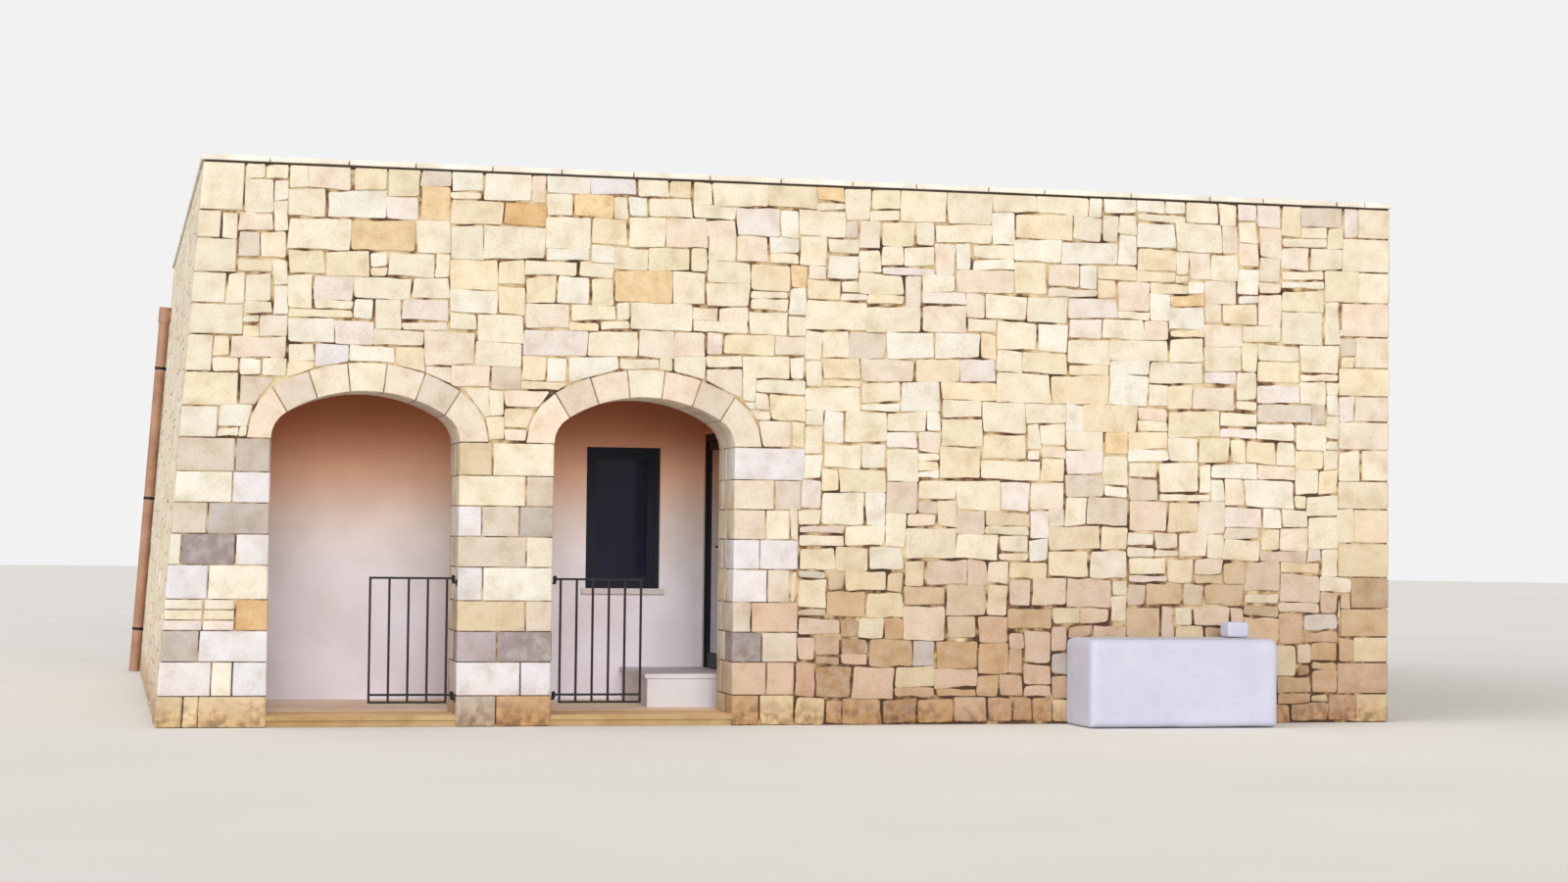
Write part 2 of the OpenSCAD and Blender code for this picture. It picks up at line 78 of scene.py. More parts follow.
# The arch curve: a crown circle that runs into a small circle at each haunch
ARCH_SPAN = PIER_2 - PIER_1
RING = (high("left_arch").x - low("left_arch").x - ARCH_SPAN) / 2
ARCH_RISE = high("left_arch").z - SPRING - RING
HAUNCH_RADIUS = 0.26
HAUNCH_X = ARCH_SPAN / 2 - HAUNCH_RADIUS
CROWN_DROP = (HAUNCH_X ** 2 - (ARCH_RISE - HAUNCH_RADIUS) ** 2) / (2 * (ARCH_RISE - HAUNCH_RADIUS))
CROWN_RADIUS = ARCH_RISE + CROWN_DROP
HAUNCH_TURN = math.atan2(CROWN_DROP, HAUNCH_X)
HAUNCH_LENGTH = HAUNCH_RADIUS * HAUNCH_TURN
CURVE_LENGTH = 2 * HAUNCH_LENGTH + CROWN_RADIUS * (math.pi - 2 * HAUNCH_TURN)
RING_STONES = 7
ARCH_MIDDLES = [(PIER_1 + PIER_2) / 2, (PIER_2_END + PIER_3) / 2]

# Every stone, in metres
PROUD = 0.012  # how far its face stands in front of the wall's core
REVEAL_PROUD = 0.005  # the same inside the archways
MOST_PROUD = 0.006  # how far a bump on a face may stand out further
PROUD_SPREAD = 0.003
TILT = 0.01
FACE_RELIEF = 0.006
BLOCK_RELIEF = 0.004
EDGE = 0.005
STEP = 0.09  # the longest straight piece of an outline
ROUNDED_KNOCK = 0.016  # a corner that has lost more than this is rounded
ROUNDING = 0.27
MOST_OF_SIDE = 0.3  # the most of a side that is knocked off
TOP_GAP = 0.016  # what stones keep from the coping
LOWEST = 0.002  # what stones keep from the ground

# Blocks of the corners, piers and arches
JOINT = 0.013
PIER_JOINT = 0.008
BLOCK_WANDER = 0.002
BLOCK_KNOCKS = (0.006, 0.02)  # least and most knocked off a corner
BACK_GAP = 0.006  # what they keep from the porch's plaster
CORNER_SIZES = [(0.3, 0.45), (0.5, 0.275)]  # width and depth, by turns
CORNER_COURSES = (0.22, 0.3)
LAST_CORNER = 0.45  # the most height that the last course of a corner takes
PIER_DEPTHS = [0.3, 0.425]
REVEAL_WIDTH = 0.25
RING_DEPTHS = [0.3, 0.36]
RING_WANDER = 0.008
RING_RELIEF = 0.003

# Field stones, laid out on a grid of square cells
CELL = 0.025
BED = 0.03  # how far they reach into the core
COURSES = [0.075, 0.1, 0.175, 0.2, 0.2, 0.2, 0.225, 0.225, 0.25, 0.275]
FREE, BEHIND_RING, TAKEN = -1, -2, -3  # what a cell without a field stone holds
RING_COVERS = 0.05  # how far field stones reach in behind a ring
BEHIND_CELLS = 8
CLEAR_OF_ARCH = 0.1  # how far below the springing a stone's middle is clear of the arch
LEAST_CELLS = 5  # cells that two joints keep apart
LEAST_STONE = 0.001  # smallest face, in square metres
WIDTHS_LOW = (0.19, 0.38)
WIDTHS_HIGH = (0.26, 0.55)
NARROWEST = 0.14
NARROW_SHARE = 0.18
ONE_STONE = 0.4  # a gap up to this wide takes one stone
WIDEST = 0.6
WIDTH_TRIES = 6
JOINT_CLEAR = 4  # cells at which an upright joint is clear of the one below
LEVEL_SHARE = 0.7  # how often a stone ends level with one beside it, if that is near
LEVEL_NEAR = 3
TALLEST_CELLS = 12
MOST_CELLS = 20
SWAY = 0.022
SWAYS_PER_METRE = 1.5
STRAY = 0.013
# Joint, wander of the sides and least and most knocked off a corner, low down and higher up
ROUGH_TO = 1.4
WORN_FOOT = (0.019, 0.009, (0.006, 0.03))
TIGHT_TOP = (0.013, 0.006, (0.003, 0.024))
JOINT_SPREAD = (0.2, 0.62)  # the least and most of a joint that one side takes

# The camera stands where the photographer stood, measured from the foot of the left front corner
EYE = Vector((-0.436, -22.896, 1.6))
PHOTO_LENS = 29.25
PHOTO_CLOSER = 2.2
PHOTO_YAW = 13.62
PHOTO_PITCH = 1.9
PHOTO_ROLL = 0.66
SKY_LIGHT = 0.55
# Soft lights: name, strength, width, height over the horizon and turn to the left of the front, in degrees
LIGHTS = [("soft_key", 2.2, 30, 15, 5), ("soft_fill", 1.6, 60, 25, 69)]

# Slabs
COPING_JOINT = 0.006
COPING_LENGTHS = (0.5, 0.8)
COPING_PAIR = 1.1  # the most that the last two slabs of a run share
COPING_EDGE = 0.007
COPING_WEAR = (0.16, 0.007)  # size and depth of the hollows
SLAB_JOINT = 0.008
SLAB_BED = 0.02
SLAB_EDGE = 0.004
SLAB_WEAR = (0.5, 0.004)

# The hand-floated render: node, width of its rounded edges, size of its facets, depth of its hollows
RENDERED_BLOCKS = [("cistern", 0.065, 0.022, 0.012), ("cistern_cap", 0.025, 0.011, 0.006)]
RENDER_HOLLOW = 0.35
AT_SAME_PLACE = 0.001

STAGE_RADIUS = 90
STAGE_DROP = 0.002

STONE_COLOURS = {
    "cream": "#EFE4CD", "butter": "#EEDFC1", "ivory": "#F0E9DA", "peach": "#EEDECB", "rose": "#EEE1D9",
    "beige": "#DFD0BF", "sand": "#DFCBAA", "honey": "#EDD3A8", "rust": "#E0BC8A", "blush": "#D9BCA4",
    "clay": "#CDAA8B", "tan": "#C9A67E", "earth": "#B5926C", "dove": "#C4B9AF", "slate": "#9A8E8F",
    "lilac": "#B8ABB0", "white": "#E7E2E4",
}
UPPER_MIX = {"cream": 42, "butter": 20, "peach": 13, "ivory": 17, "rose": 4, "beige": 3, "honey": 1}
LOWER_MIX = {"tan": 26, "sand": 17, "clay": 25, "blush": 22, "earth": 7, "dove": 3}
# Heights from which field stones turn browner downwards, over how much height, and how far by chance
TAN_FROM = 0.7
TAN_FROM_BY_CISTERN = 1.9
TAN_FADE = 1.3
TAN_SPREAD = 0.2
TAN_LIGHT = 0.9
# How light a stone is against its colour in full light, and how much warmer or cooler
BRIGHTNESS = (0.78, 0.845)
WARMTH = 0.02

# Stones that catch the eye: distance from the left foot, height, colour
ACCENTS = [
    (2.2, 4.3, "honey"), (2.8, 4.26, "rust"), (1.8, 3.88, "honey"), (1.42, 3.04, "white"),
    (1.3, 3.45, "rose"), (3.9, 3.6, "honey"), (3.5, 4.4, "white"),
]
# The stones of each pier, course by course from the ground up, with their widths in per cent, and with
# thin stones of one stack joined by a slash
LEFT_PIER_STONES = [
    "sand:24 butter:14 sand:62", "white:48 ivory:20 white:32", "dove:35 white:65",
    "rose/cream/ivory:37 rose/butter/peach:31 rust:32",
    "white:40 ivory:60", "ivory:11 slate:55 white:34", "beige:36 dove:64",
    "ivory:60 white:40", "beige:62 dove:38",
]
MIDDLE_PIER_STONES = [
    "dove:42 tan:58", "white:67 white:33", "lilac:42 slate:58", "sand:72 beige:28",
    "white:26 ivory:74", "beige:72 cream:28", "white:24 beige:40 dove:36",
    "cream:71 beige:29", "sand:35 cream:65",
]
RIGHT_PIER_STONES = [
    "tan:44 sand:56", "blush:55 blush:45", "slate:45 beige:55", "beige:28 blush:72", "white:60 beige:40",
    "white:40 white:60", "beige:57 cream:43", "peach:60 beige:40", "white:100",
]
PIER_COURSES = len(LEFT_PIER_STONES)
VOUSSOIR_COLOURS = ["peach", "beige", "peach", "cream", "peach", "beige", "peach"]


def linear(hex_colour):
    """An sRGB colour such as #C8B090 as the linear values that a shader takes."""
    parts = [int(hex_colour[i:i + 2], 16) / 255 for i in (1, 3, 5)]
    return [p / 12.92 if p <= 0.04045 else ((p + 0.055) / 1.055) ** 2.4 for p in parts] + [1.0]


# A Mix node for colours takes its factor at socket 0 and its colours at 6 and 7, and gives one at 2
BLEND = {"out": 2, "data_type": "RGBA"}
MULTIPLY = {"out": 2, "data_type": "RGBA", "blend_type": "MULTIPLY"}


def add_node(tree, kind, inputs, out=0, **fields):
    """Adds a node and gives one of its outputs. An input is another node's output, a value or a colour."""
    made = tree.nodes.new("ShaderNode" + kind)
    for name, value in fields.items():
        if name == "stops":
            elements = made.color_ramp.elements
            while len(elements) < len(value):
                elements.new(0.5)
            for element, (place, colour) in zip(elements, value):
                element.position = place
                element.color = linear(colour)
        else:
            setattr(made, name, value)
    for socket, source in inputs.items():
        if isinstance(source, bpy.types.NodeSocket):
            tree.links.new(source, made.inputs[socket])
        elif isinstance(source, str):
            made.inputs[socket].default_value = linear(source)
        else:
            made.inputs[socket].default_value = source
    return made.outputs[out]


def new_material(name):
    """A material, what adds a node to it and the place on the object that its patterns follow."""
    material = bpy.data.materials.new(name)
    material.use_nodes = True
    add = partial(add_node, material.node_tree)
    return material, add, add("TexCoord", {}, out="Object")


def repeats(millimetres):
    """The scale at which a pattern repeats after about this length."""
    return 1000 / millimetres


def finish_material(material, colour, roughness, heights=(), metallic=0.0):
    """Sets the shader: its colour, its roughness and bumps given as (height, strength, depth in metres)."""
    tree = material.node_tree
    shader = tree.nodes["Principled BSDF"]
    tree.links.new(colour, shader.inputs["Base Color"])
    if isinstance(roughness, float):
        shader.inputs["Roughness"].default_value = roughness
    else:
        tree.links.new(roughness, shader.inputs["Roughness"])
    shader.inputs["Metallic"].default_value = metallic
    normal = None
    for height, strength, depth in heights:
        inputs = {"Height": height, "Strength": strength, "Distance": depth}
        if normal:
            inputs["Normal"] = normal
        normal = add_node(tree, "Bump", inputs)
    if normal:
        tree.links.new(normal, shader.inputs["Normal"])
    return material


# Soft pale limestone, split and dressed with a pick: chalky, matt and pitted, with clouds 170 mm wide and
# grain 12 mm coarse. Lime blooms in pale patches on the dark stones and iron stains the orange ones, and
# there is a brown splash line where rain has thrown earth at the lowest courses
def limestone():
    material, add, where = new_material("dressed_limestone")
    own = add("Attribute", {}, attribute_name="stone_colour")
    cloud = add("TexNoise", {"Vector": where, "Scale": repeats(170), "Detail": 5.0})
    grain = add("TexNoise", {"Vector": where, "Scale": repeats(12), "Detail": 6.0})
    pits = add("TexVoronoi", {"Vector": where, "Scale": repeats(24)})
    depth = add("RGBToBW", {"Color": own})
    red = add("SeparateColor", {"Color": own}, out="Red")
    blue = add("SeparateColor", {"Color": own}, out="Blue")
    orange = add("Math", {0: red, 1: blue}, operation="SUBTRACT")
    lime_and_iron = [(90, depth, 0.4, 0.22, "#C3B9B0"), (60, orange, 0.3, 0.4, "#B98450")]
    colour = own
    for size, measure, none_at, most_at, stain in lime_and_iron:
        amount = add("MapRange", {"Value": measure, "From Min": none_at, "From Max": most_at, "To Max": 0.5})
        patches = add("TexNoise", {"Vector": where, "Scale": repeats(size), "Detail": 8.0})
        patches = add("MapRange", {"Value": patches, "From Min": 0.42, "From Max": 0.72})
        share = add("Math", {0: amount, 1: patches}, operation="MULTIPLY")
        colour = add("Mix", {0: share, 6: colour, 7: stain}, **BLEND)
    tints = [
        (cloud, 0.7, [(0.28, "#DDD2C0"), (0.46, "#F6F2EB"), (0.62, "#FFFFFF")]),
        (grain, 0.6, [(0.32, "#E4E0DA"), (0.55, "#FFFFFF")]),
        (pits, 0.35, [(0.05, "#CFC6B8"), (0.18, "#FFFFFF")]),
    ]
    for pattern, amount, stops in tints:
        tint = add("ValToRGB", {"Fac": pattern}, stops=stops)
        colour = add("Mix", {0: amount, 6: colour, 7: tint}, **MULTIPLY)
    height = add("SeparateXYZ", {"Vector": where}, out="Z")
    splash = add("Math", {0: cloud, 1: 0.5}, operation="MULTIPLY")
    splash = add("Math", {0: height, 1: splash}, operation="SUBTRACT")
    splash = add("MapRange", {"Value": splash, "From Min": 0.05, "From Max": -0.2, "To Max": 0.7})
    mud = add("TexNoise", {"Vector": where, "Scale": repeats(70), "Detail": 6.0})
    mud = add("ValToRGB", {"Fac": mud}, stops=[(0.36, "#8A6B45"), (0.5, "#DDBE90"), (0.6, "#F3E3C6")])
    colour = add("Mix", {0: splash, 6: colour, 7: mud}, **MULTIPLY)
    return finish_material(material, colour, 0.92,
                           [(cloud, 0.6, 0.02), (pits, 0.35, 0.005), (grain, 0.7, 0.004)])


# The core of the walls: lime and sand mortar in the joints outside, pale where it is filled and dark brown in
# patches as painted shadow of deep joints, more of it low down, and smooth lime plaster inside the house, in
# the porch and behind the parapet
def wall_core():
    material, add, where = new_material("lime_mortar_and_plaster")
    middle = (ROOM_LOW + ROOM_HIGH) / 2
    plaster_reach = Vector((0.02, 0.02, 0.02))
    half = (ROOM_HIGH - ROOM_LOW) / 2 + plaster_reach
    beside = add("VectorMath", {0: where, 1: middle}, operation="SUBTRACT")
    beside = add("VectorMath", {0: beside}, operation="ABSOLUTE")
    beside = add("VectorMath", {0: beside, 1: half}, operation="DIVIDE")
    across = add("SeparateXYZ", {"Vector": beside}, out="X")
    along = add("SeparateXYZ", {"Vector": beside}, out="Y")
    furthest = add("Math", {0: across, 1: along}, operation="MAXIMUM")
    inside = add("Math", {0: furthest, 1: 1.0}, operation="LESS_THAN")
    grit = add("TexNoise", {"Vector": where, "Scale": repeats(7), "Detail": 5.0})
    height = add("SeparateXYZ", {"Vector": where}, out="Z")
    filled_or_shaded = add("TexNoise", {"Vector": where, "Scale": repeats(150), "Detail": 3.0})
    more_shade_low_down = add("MapRange", {"Value": height, "From Max": 1.6, "To Min": 0.14, "To Max": 0.0})
    filled_or_shaded = add("Math", {0: filled_or_shaded, 1: more_shade_low_down}, operation="SUBTRACT")
    # Painted shadow: where the pattern runs low the joint turns dark brown, as a deep joint would lie in
    # shade
    mortar = add("ValToRGB", {"Fac": filled_or_shaded}, stops=[
        (0.38, "#4A331F"), (0.46, "#876748"), (0.55, "#BFA880"), (0.68, "#DBC9A4")])
    sand = add("ValToRGB", {"Fac": grit}, stops=[(0.3, "#B9AE9E"), (0.6, "#FFFFFF")])
    mortar = add("Mix", {0: 0.8, 6: mortar, 7: sand}, **MULTIPLY)
    # Painted shadow: the topmost joint, under the lip of the coping, is dark brown
    painted_coping_shadow = add("Math", {0: height, 1: WALL_TOP - 2 * TOP_GAP}, operation="GREATER_THAN")
    mortar = add("Mix", {0: painted_coping_shadow, 6: mortar, 7: "#3E3122"}, **BLEND)
    plaster = plaster_with_painted_vault_shade(add, where)
    colour = add("Mix", {0: inside, 6: mortar, 7: plaster}, **BLEND)
    floated = plaster_height(add, where)
    return finish_material(material, colour, 0.95, [(grit, 0.5, 0.004), (floated, 0.2, 0.01)])


# Lime plaster, floated smooth by hand and painted a pale greyish lilac: matt, with faint trowel clouds.
# Towards the vault of the porch it turns a deepening warm brown, which is painted shade for the shadow under
# the arches and the warm light thrown back by the clay ceiling
def plaster_with_painted_vault_shade(add, where):
    cloud = add("TexNoise", {"Vector": where, "Scale": repeats(625), "Detail": 5.0})
    height = add("SeparateXYZ", {"Vector": where}, out="Z")
    drift = add("Math", {0: cloud, 1: 0.15}, operation="MULTIPLY")
    risen = add("Math", {0: height, 1: drift}, operation="ADD")
    share = add("MapRange", {"Value": risen, "From Max": 3.2})
    # Painted shade: the colour darkens to warm brown with height, as the vault shades the porch
    shade = add("ValToRGB", {"Fac": share}, stops=[
        (0.1, "#DFDAE2"), (0.43, "#E2DCDF"), (0.56, "#EBDBD1"),
        (0.69, "#FAC8A8"), (0.8, "#E09C76"), (0.95, "#BB764B")])
    faint = add("ValToRGB", {"Fac": cloud}, stops=[(0.3, "#F0EBE8"), (0.65, "#FFFFFF")])
    porch = add("Mix", {0: 1.0, 6: shade, 7: faint}, **MULTIPLY)
    roof = (ROOM_LOW.z + ROOM_HIGH.z) / 2
    above = add("Math", {0: height, 1: roof}, operation="GREATER_THAN")
    return add("Mix", {0: above, 6: porch, 7: "#E2DACB"}, **BLEND)


def plaster_height(add, where):
    """The slight waves that the float leaves in the plaster."""
    return add("TexNoise", {"Vector": where, "Scale": repeats(110), "Detail": 3.0})


# The same plaster on the walls of the porch, seen from close by, so with the sand of its last coat
def porch_plaster():
    material, add, where = new_material("painted_lime_plaster")
    floated = plaster_height(add, where)
    sand = add("TexNoise", {"Vector": where, "Scale": repeats(4), "Detail": 2.0})
    colour = plaster_with_painted_vault_shade(add, where)
    return finish_material(material, colour, 0.88, [(floated, 0.25, 0.01), (sand, 0.25, 0.001)])


# One finish of stone or clay that two colours cloud and a fine grain roughens, with sizes in millimetres
def mineral(name, dark, light, roughness, cloud_size=330, grain_size=11, grain_depth=0.003,
            speck_colour="#D9D4CE", painted_top_light=None):
    material, add, where = new_material(name)
    cloud = add("TexNoise", {"Vector": where, "Scale": repeats(cloud_size), "Detail": 6.0})
    grain = add("TexNoise", {"Vector": where, "Scale": repeats(grain_size), "Detail": 5.0})
    body = add("ValToRGB", {"Fac": cloud}, stops=[(0.3, dark), (0.66, light)])
    # Painted light: faces that look up take a paler colour, as if lit from above
    if painted_top_light:
        normal = add("NewGeometry", {}, out="True Normal")
        upward = add("SeparateXYZ", {"Vector": normal}, out="Z")
        upward = add("MapRange", {"Value": upward, "From Min": 0.6, "From Max": 0.9})
        body = add("Mix", {0: upward, 6: body, 7: painted_top_light}, **BLEND)
    speck = add("ValToRGB", {"Fac": grain}, stops=[(0.3, speck_colour), (0.55, "#FFFFFF")])
    colour = add("Mix", {0: 0.5, 6: body, 7: speck}, **MULTIPLY)
    return finish_material(material, colour, roughness, [(cloud, 0.2, 0.01), (grain, 0.5, grain_depth)])


# Satin paint over metal or wood: smooth and dark, a little uneven where the brush went
def satin_paint(name, dark, light, roughness, metallic, specular):
    material, add, where = new_material(name)
    brush = add("TexNoise", {"Vector": where, "Scale": repeats(28), "Detail": 4.0})
    colour = add("ValToRGB", {"Fac": brush}, stops=[(0.3, dark), (0.7, light)])
    shine = add("MapRange", {"Value": brush, "To Min": roughness - 0.08, "To Max": roughness + 0.1})
    shader = material.node_tree.nodes["Principled BSDF"]
    shader.inputs["Specular IOR Level"].default_value = specular
    return finish_material(material, colour, shine, [(brush, 0.15, 0.001)], metallic)


# Float glass with a dark room behind it, whose shade is painted into the glass: nearly black blue, glossy,
# and a little wavy in what it mirrors
def pane_with_painted_room_shade(name, specular, second_sheet):
    material, add, where = new_material(name)
    ripple = add("TexNoise", {"Vector": where, "Scale": repeats(450), "Detail": 1.0})
    # Painted shade: the glass itself is nearly black blue in place of the dim room seen through it
    colour = add("ValToRGB", {"Fac": ripple}, stops=[(0.3, "#0F1322"), (0.7, "#151A2C")])
    finish_material(material, colour, 0.08, [(ripple, 0.05, 0.002)])
    shader = material.node_tree.nodes["Principled BSDF"]
    shader.inputs["Specular IOR Level"].default_value = specular
    shader.inputs["Coat Weight"].default_value = second_sheet
    return material


LIMESTONE = limestone()
WALL_CORE = wall_core()
PORCH_PLASTER = porch_plaster()
# Sawn coping slabs: pale, matt and a little stained by the weather
COPING_STONE = mineral("weathered_coping_stone", "#CEC4B2", "#E8E1D4", 0.9, 260)
# Dressed ochre treads: matt brown at the sides, and paler on top as painted light from above
OCHRE_STONE = mineral("worn_ochre_stone", "#A08052", "#B4966B", 0.8, 260, 14, painted_top_light="#EFC692")
# Sawn floor slabs of warm pale stone, walked smooth to a faint sheen
FLOOR_STONE = mineral("worn_floor_stone", "#F5D8B8", "#FBE6CE", 0.7, 800)
# Step stone, honed: cool and pale, even and without grain
PALE_STONE = mineral("honed_pale_stone", "#CAC5C8", "#D8D4D8", 0.7, 500, 9, 0.001, "#ECEAE7")
# Window sill of sawn stone, gone greyish and dull in the rain
SILL_STONE = mineral("weathered_sill_stone", "#BFB3AE", "#CFC5C0", 0.8, 200, 9, 0.001, "#E0DCD8")
# Sawn slabs of the flat roof: cream and matt, in broad faint clouds
ROOF_STONE = mineral("roof_paving_stone", "#DACFBC", "#EAE2D3", 0.9, 900)
# Fired clay of the porch ceiling, left bare: matt brick red
CEILING_CLAY = mineral("ceiling_clay", "#8A4B32", "#A7634A", 0.9)
# Fired clay pipe under thin paint: dull brown, with its grain showing through
PIPE_CLAY = mineral("painted_pipe_clay", "#8B6048", "#A47C61", 0.6, 200, 16, 0.001)
# Limewash brushed over floated render: bluish white and chalky, without grain
LIMEWASH = mineral("brushed_limewash", "#B5B4C3", "#BDBDCA", 0.9, 700, 90, 0.0006, "#F6F5F8")
# Wrought iron under old paint, nearly black
IRON = satin_paint("painted_wrought_iron", "#141112", "#201B1B", 0.5, 0.1, 0.2)
# Blue-black paint of the window and the door
DARK_FRAME = satin_paint("dark_frame_paint", "#0E101A", "#141724", 0.45, 0.0, 0.12)
PANE = pane_with_painted_room_shade("window_pane", 0.2, 0.0)
# The pane of the door: a second sheet over the first, so that at a flat angle it mirrors the pale plaster
DOOR_PANE = pane_with_painted_room_shade("double_door_pane", 0.5, 1.0)

NODE_FINISHES = [
    (WALL_CORE, "left_pier middle_pier right_pier front_wall_upper front_wall_right left_arch right_arch "
                "left_side_wall right_side_wall back_wall"),
    (PORCH_PLASTER, "porch_back_wall return_wall_front return_wall_back return_wall_over_door"),
    (PALE_STONE, "door_sill entrance_landing"),
    (SILL_STONE, "window_sill"),
    (OCHRE_STONE, "left_threshold right_threshold"),
    (FLOOR_STONE, "porch_floor room_floor_front room_floor_back"),
    (CEILING_CLAY, "porch_ceiling"),
    (ROOF_STONE, "roof_slab"),
    (DARK_FRAME, "window_frame window_sash door_frame door_leaf"),
    (PANE, "window_glass"),
    (DOOR_PANE, "door_glass"),
    (IRON, "door_handle left_gate right_gate left_gate_pintles right_gate_pintles downpipe_brackets"),
    (PIPE_CLAY, "downpipe"),
    (LIMEWASH, "cistern cistern_cap"),
    (COPING_STONE, "front_coping left_coping right_coping back_coping"),
]
for finish, names in NODE_FINISHES:
    for name in names.split():
        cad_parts[name].data.materials.clear()
        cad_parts[name].data.materials.append(finish)


class Face:
    """A plane of the house: s runs along it, z up it and out away from it, all in metres."""

    def __init__(self, name, origin, along, up, out, length):
        self.name, self.origin, self.along = name, Vector(origin), Vector(along)
        self.up, self.out, self.length = Vector(up), Vector(out), length

    def point(self, s, z, out):
        return self.origin + self.along * s + self.up * z + self.out * out


FRONT_FACE = Face("front", (LEFT_FOOT, FRONT, 0), (1, 0, 0), (0, 0, 1), (0, -1, 0), LENGTH)
RIGHT_FACE = Face("right", (RIGHT, FRONT, 0), (0, 1, 0), (0, 0, 1), (1, 0, 0), DEPTH)
BACK_FACE = Face("back", (RIGHT, BACK, 0), (-1, 0, 0), (0, 0, 1), (0, 1, 0), LENGTH)
LEFT_FACE = Face("left", (LEFT_FOOT, BACK, 0), (0, -1, 0), (0, 0, 1), (-1, 0, 0), DEPTH)
PLAN = Face("plan", (LEFT_FOOT, FRONT, 0), (1, 0, 0), (0, 1, 0), (0, 0, 1), LENGTH)


def settle(point):
    """Keeps a point above ground and off the coping, and leans it in with the left side of the house."""
    point.z = min(max(point.z, LOWEST), WALL_TOP - TOP_GAP)
    across = 1 - (point.x - LEFT_FOOT) / PIER_1
    if across > 0:
        point.x += LEAN * point.z * across
    return point


def arch_point(turn, off):
    """Point of the arch curve pushed outwards by off, from the right springing (0) to the left one (pi)."""
    if turn < HAUNCH_TURN:
        middle, radius, drop = HAUNCH_X, HAUNCH_RADIUS, 0
    elif turn > math.pi - HAUNCH_TURN:
        middle, radius, drop = -HAUNCH_X, HAUNCH_RADIUS, 0
    else:
        middle, radius, drop = 0, CROWN_RADIUS, CROWN_DROP
    return Vector((middle + (radius + off) * math.cos(turn), (radius + off) * math.sin(turn) - drop))


def turn_at(length):
    """Turn at which the arch curve has run the given length from the right springing."""
    if length < HAUNCH_LENGTH:
        return length / HAUNCH_RADIUS
    if length > CURVE_LENGTH - HAUNCH_LENGTH:
        return math.pi - (CURVE_LENGTH - length) / HAUNCH_RADIUS
    return HAUNCH_TURN + (length - HAUNCH_LENGTH) / CROWN_RADIUS


def off_arch(s, z, middle):
    """How far a point lies outside the curve of the arch with this middle, and the turn there."""
    beside = Vector((abs(s - middle), max(z - SPRING, 0.0)))
    centre = Vector((0, -CROWN_DROP))
    radius = CROWN_RADIUS
    if math.atan2(beside.y + CROWN_DROP, beside.x) < HAUNCH_TURN:
        centre = Vector((HAUNCH_X, 0))
        radius = HAUNCH_RADIUS
    turn = math.atan2(beside.y - centre.y, beside.x - centre.x)
    return (beside - centre).length - radius, turn if s > middle else math.pi - turn


def cut_outline(outline, point, normal):
    """The part of a convex outline that lies on the normal's side of a line through point."""
    kept = []
    for here, there in zip(outline, outline[1:] + outline[:1]):
        a = (here - point).dot(normal)
        b = (there - point).dot(normal)
        if a >= 0:
            kept.append(here)
        if a * b < 0:
            kept.append(here + (there - here) * (a / (a - b)))
    return kept


def outline_area(outline):
    """The area of an outline, in square metres."""
    pairs = zip(outline, outline[1:] + outline[:1])
    return sum(a.x * b.y - b.x * a.y for a, b in pairs) / 2


def outline_middle(outline):
    """The mean of an outline's points."""
    return sum(outline, Vector((0, 0))) / len(outline)


def shrink(outline, joint, chance):
    """Moves each side of a convex outline inwards by about half a joint."""
    inner = outline
    for here, there in zip(outline, outline[1:] + outline[:1]):
        side = (there - here).normalized()
        inward = Vector((-side.y, side.x))
        inner = cut_outline(inner, here + inward * chance.uniform(*JOINT_SPREAD) * joint, inward)
        if len(inner) < 3:
            return []
    return inner


def weather(outline, chance, wander, knocks=BLOCK_KNOCKS):
    """Knocks the corners off an outline, splits its sides and lets them wander a little."""
    points = []
    for i, corner in enumerate(outline):
        before = outline[i - 1] - corner
        after = outline[(i + 1) % len(outline)] - corner
        knock = chance.uniform(*knocks)
        reach = corner + before.normalized() * min(knock, before.length * MOST_OF_SIDE)
        leave = corner + after.normalized() * min(knock, after.length * MOST_OF_SIDE)
        points.append(reach)
        if knock > ROUNDED_KNOCK:
            points.append(corner + (reach + leave - 2 * corner) * ROUNDING)
        points.append(leave)
        side = corner + after - leave
        across = Vector((-side.y, side.x)).normalized()
        steps = int(side.length / STEP)
        for step in range(1, steps):
            points.append(leave + side * (step / steps) + across * chance.uniform(-wander, wander))
    return points


def rectangle(s0, z0, s1, z1):
    """The outline of a rectangle between two corners."""
    return [Vector((s0, z0)), Vector((s1, z0)), Vector((s1, z1)), Vector((s0, z1))]


def lumps(spot, own):
    """Lumps of about 125 mm with smaller ones of 48 mm on them, other ones for each stone."""
    return noise.noise(spot * 8 + own) + 0.6 * noise.noise(spot * 21 + own)


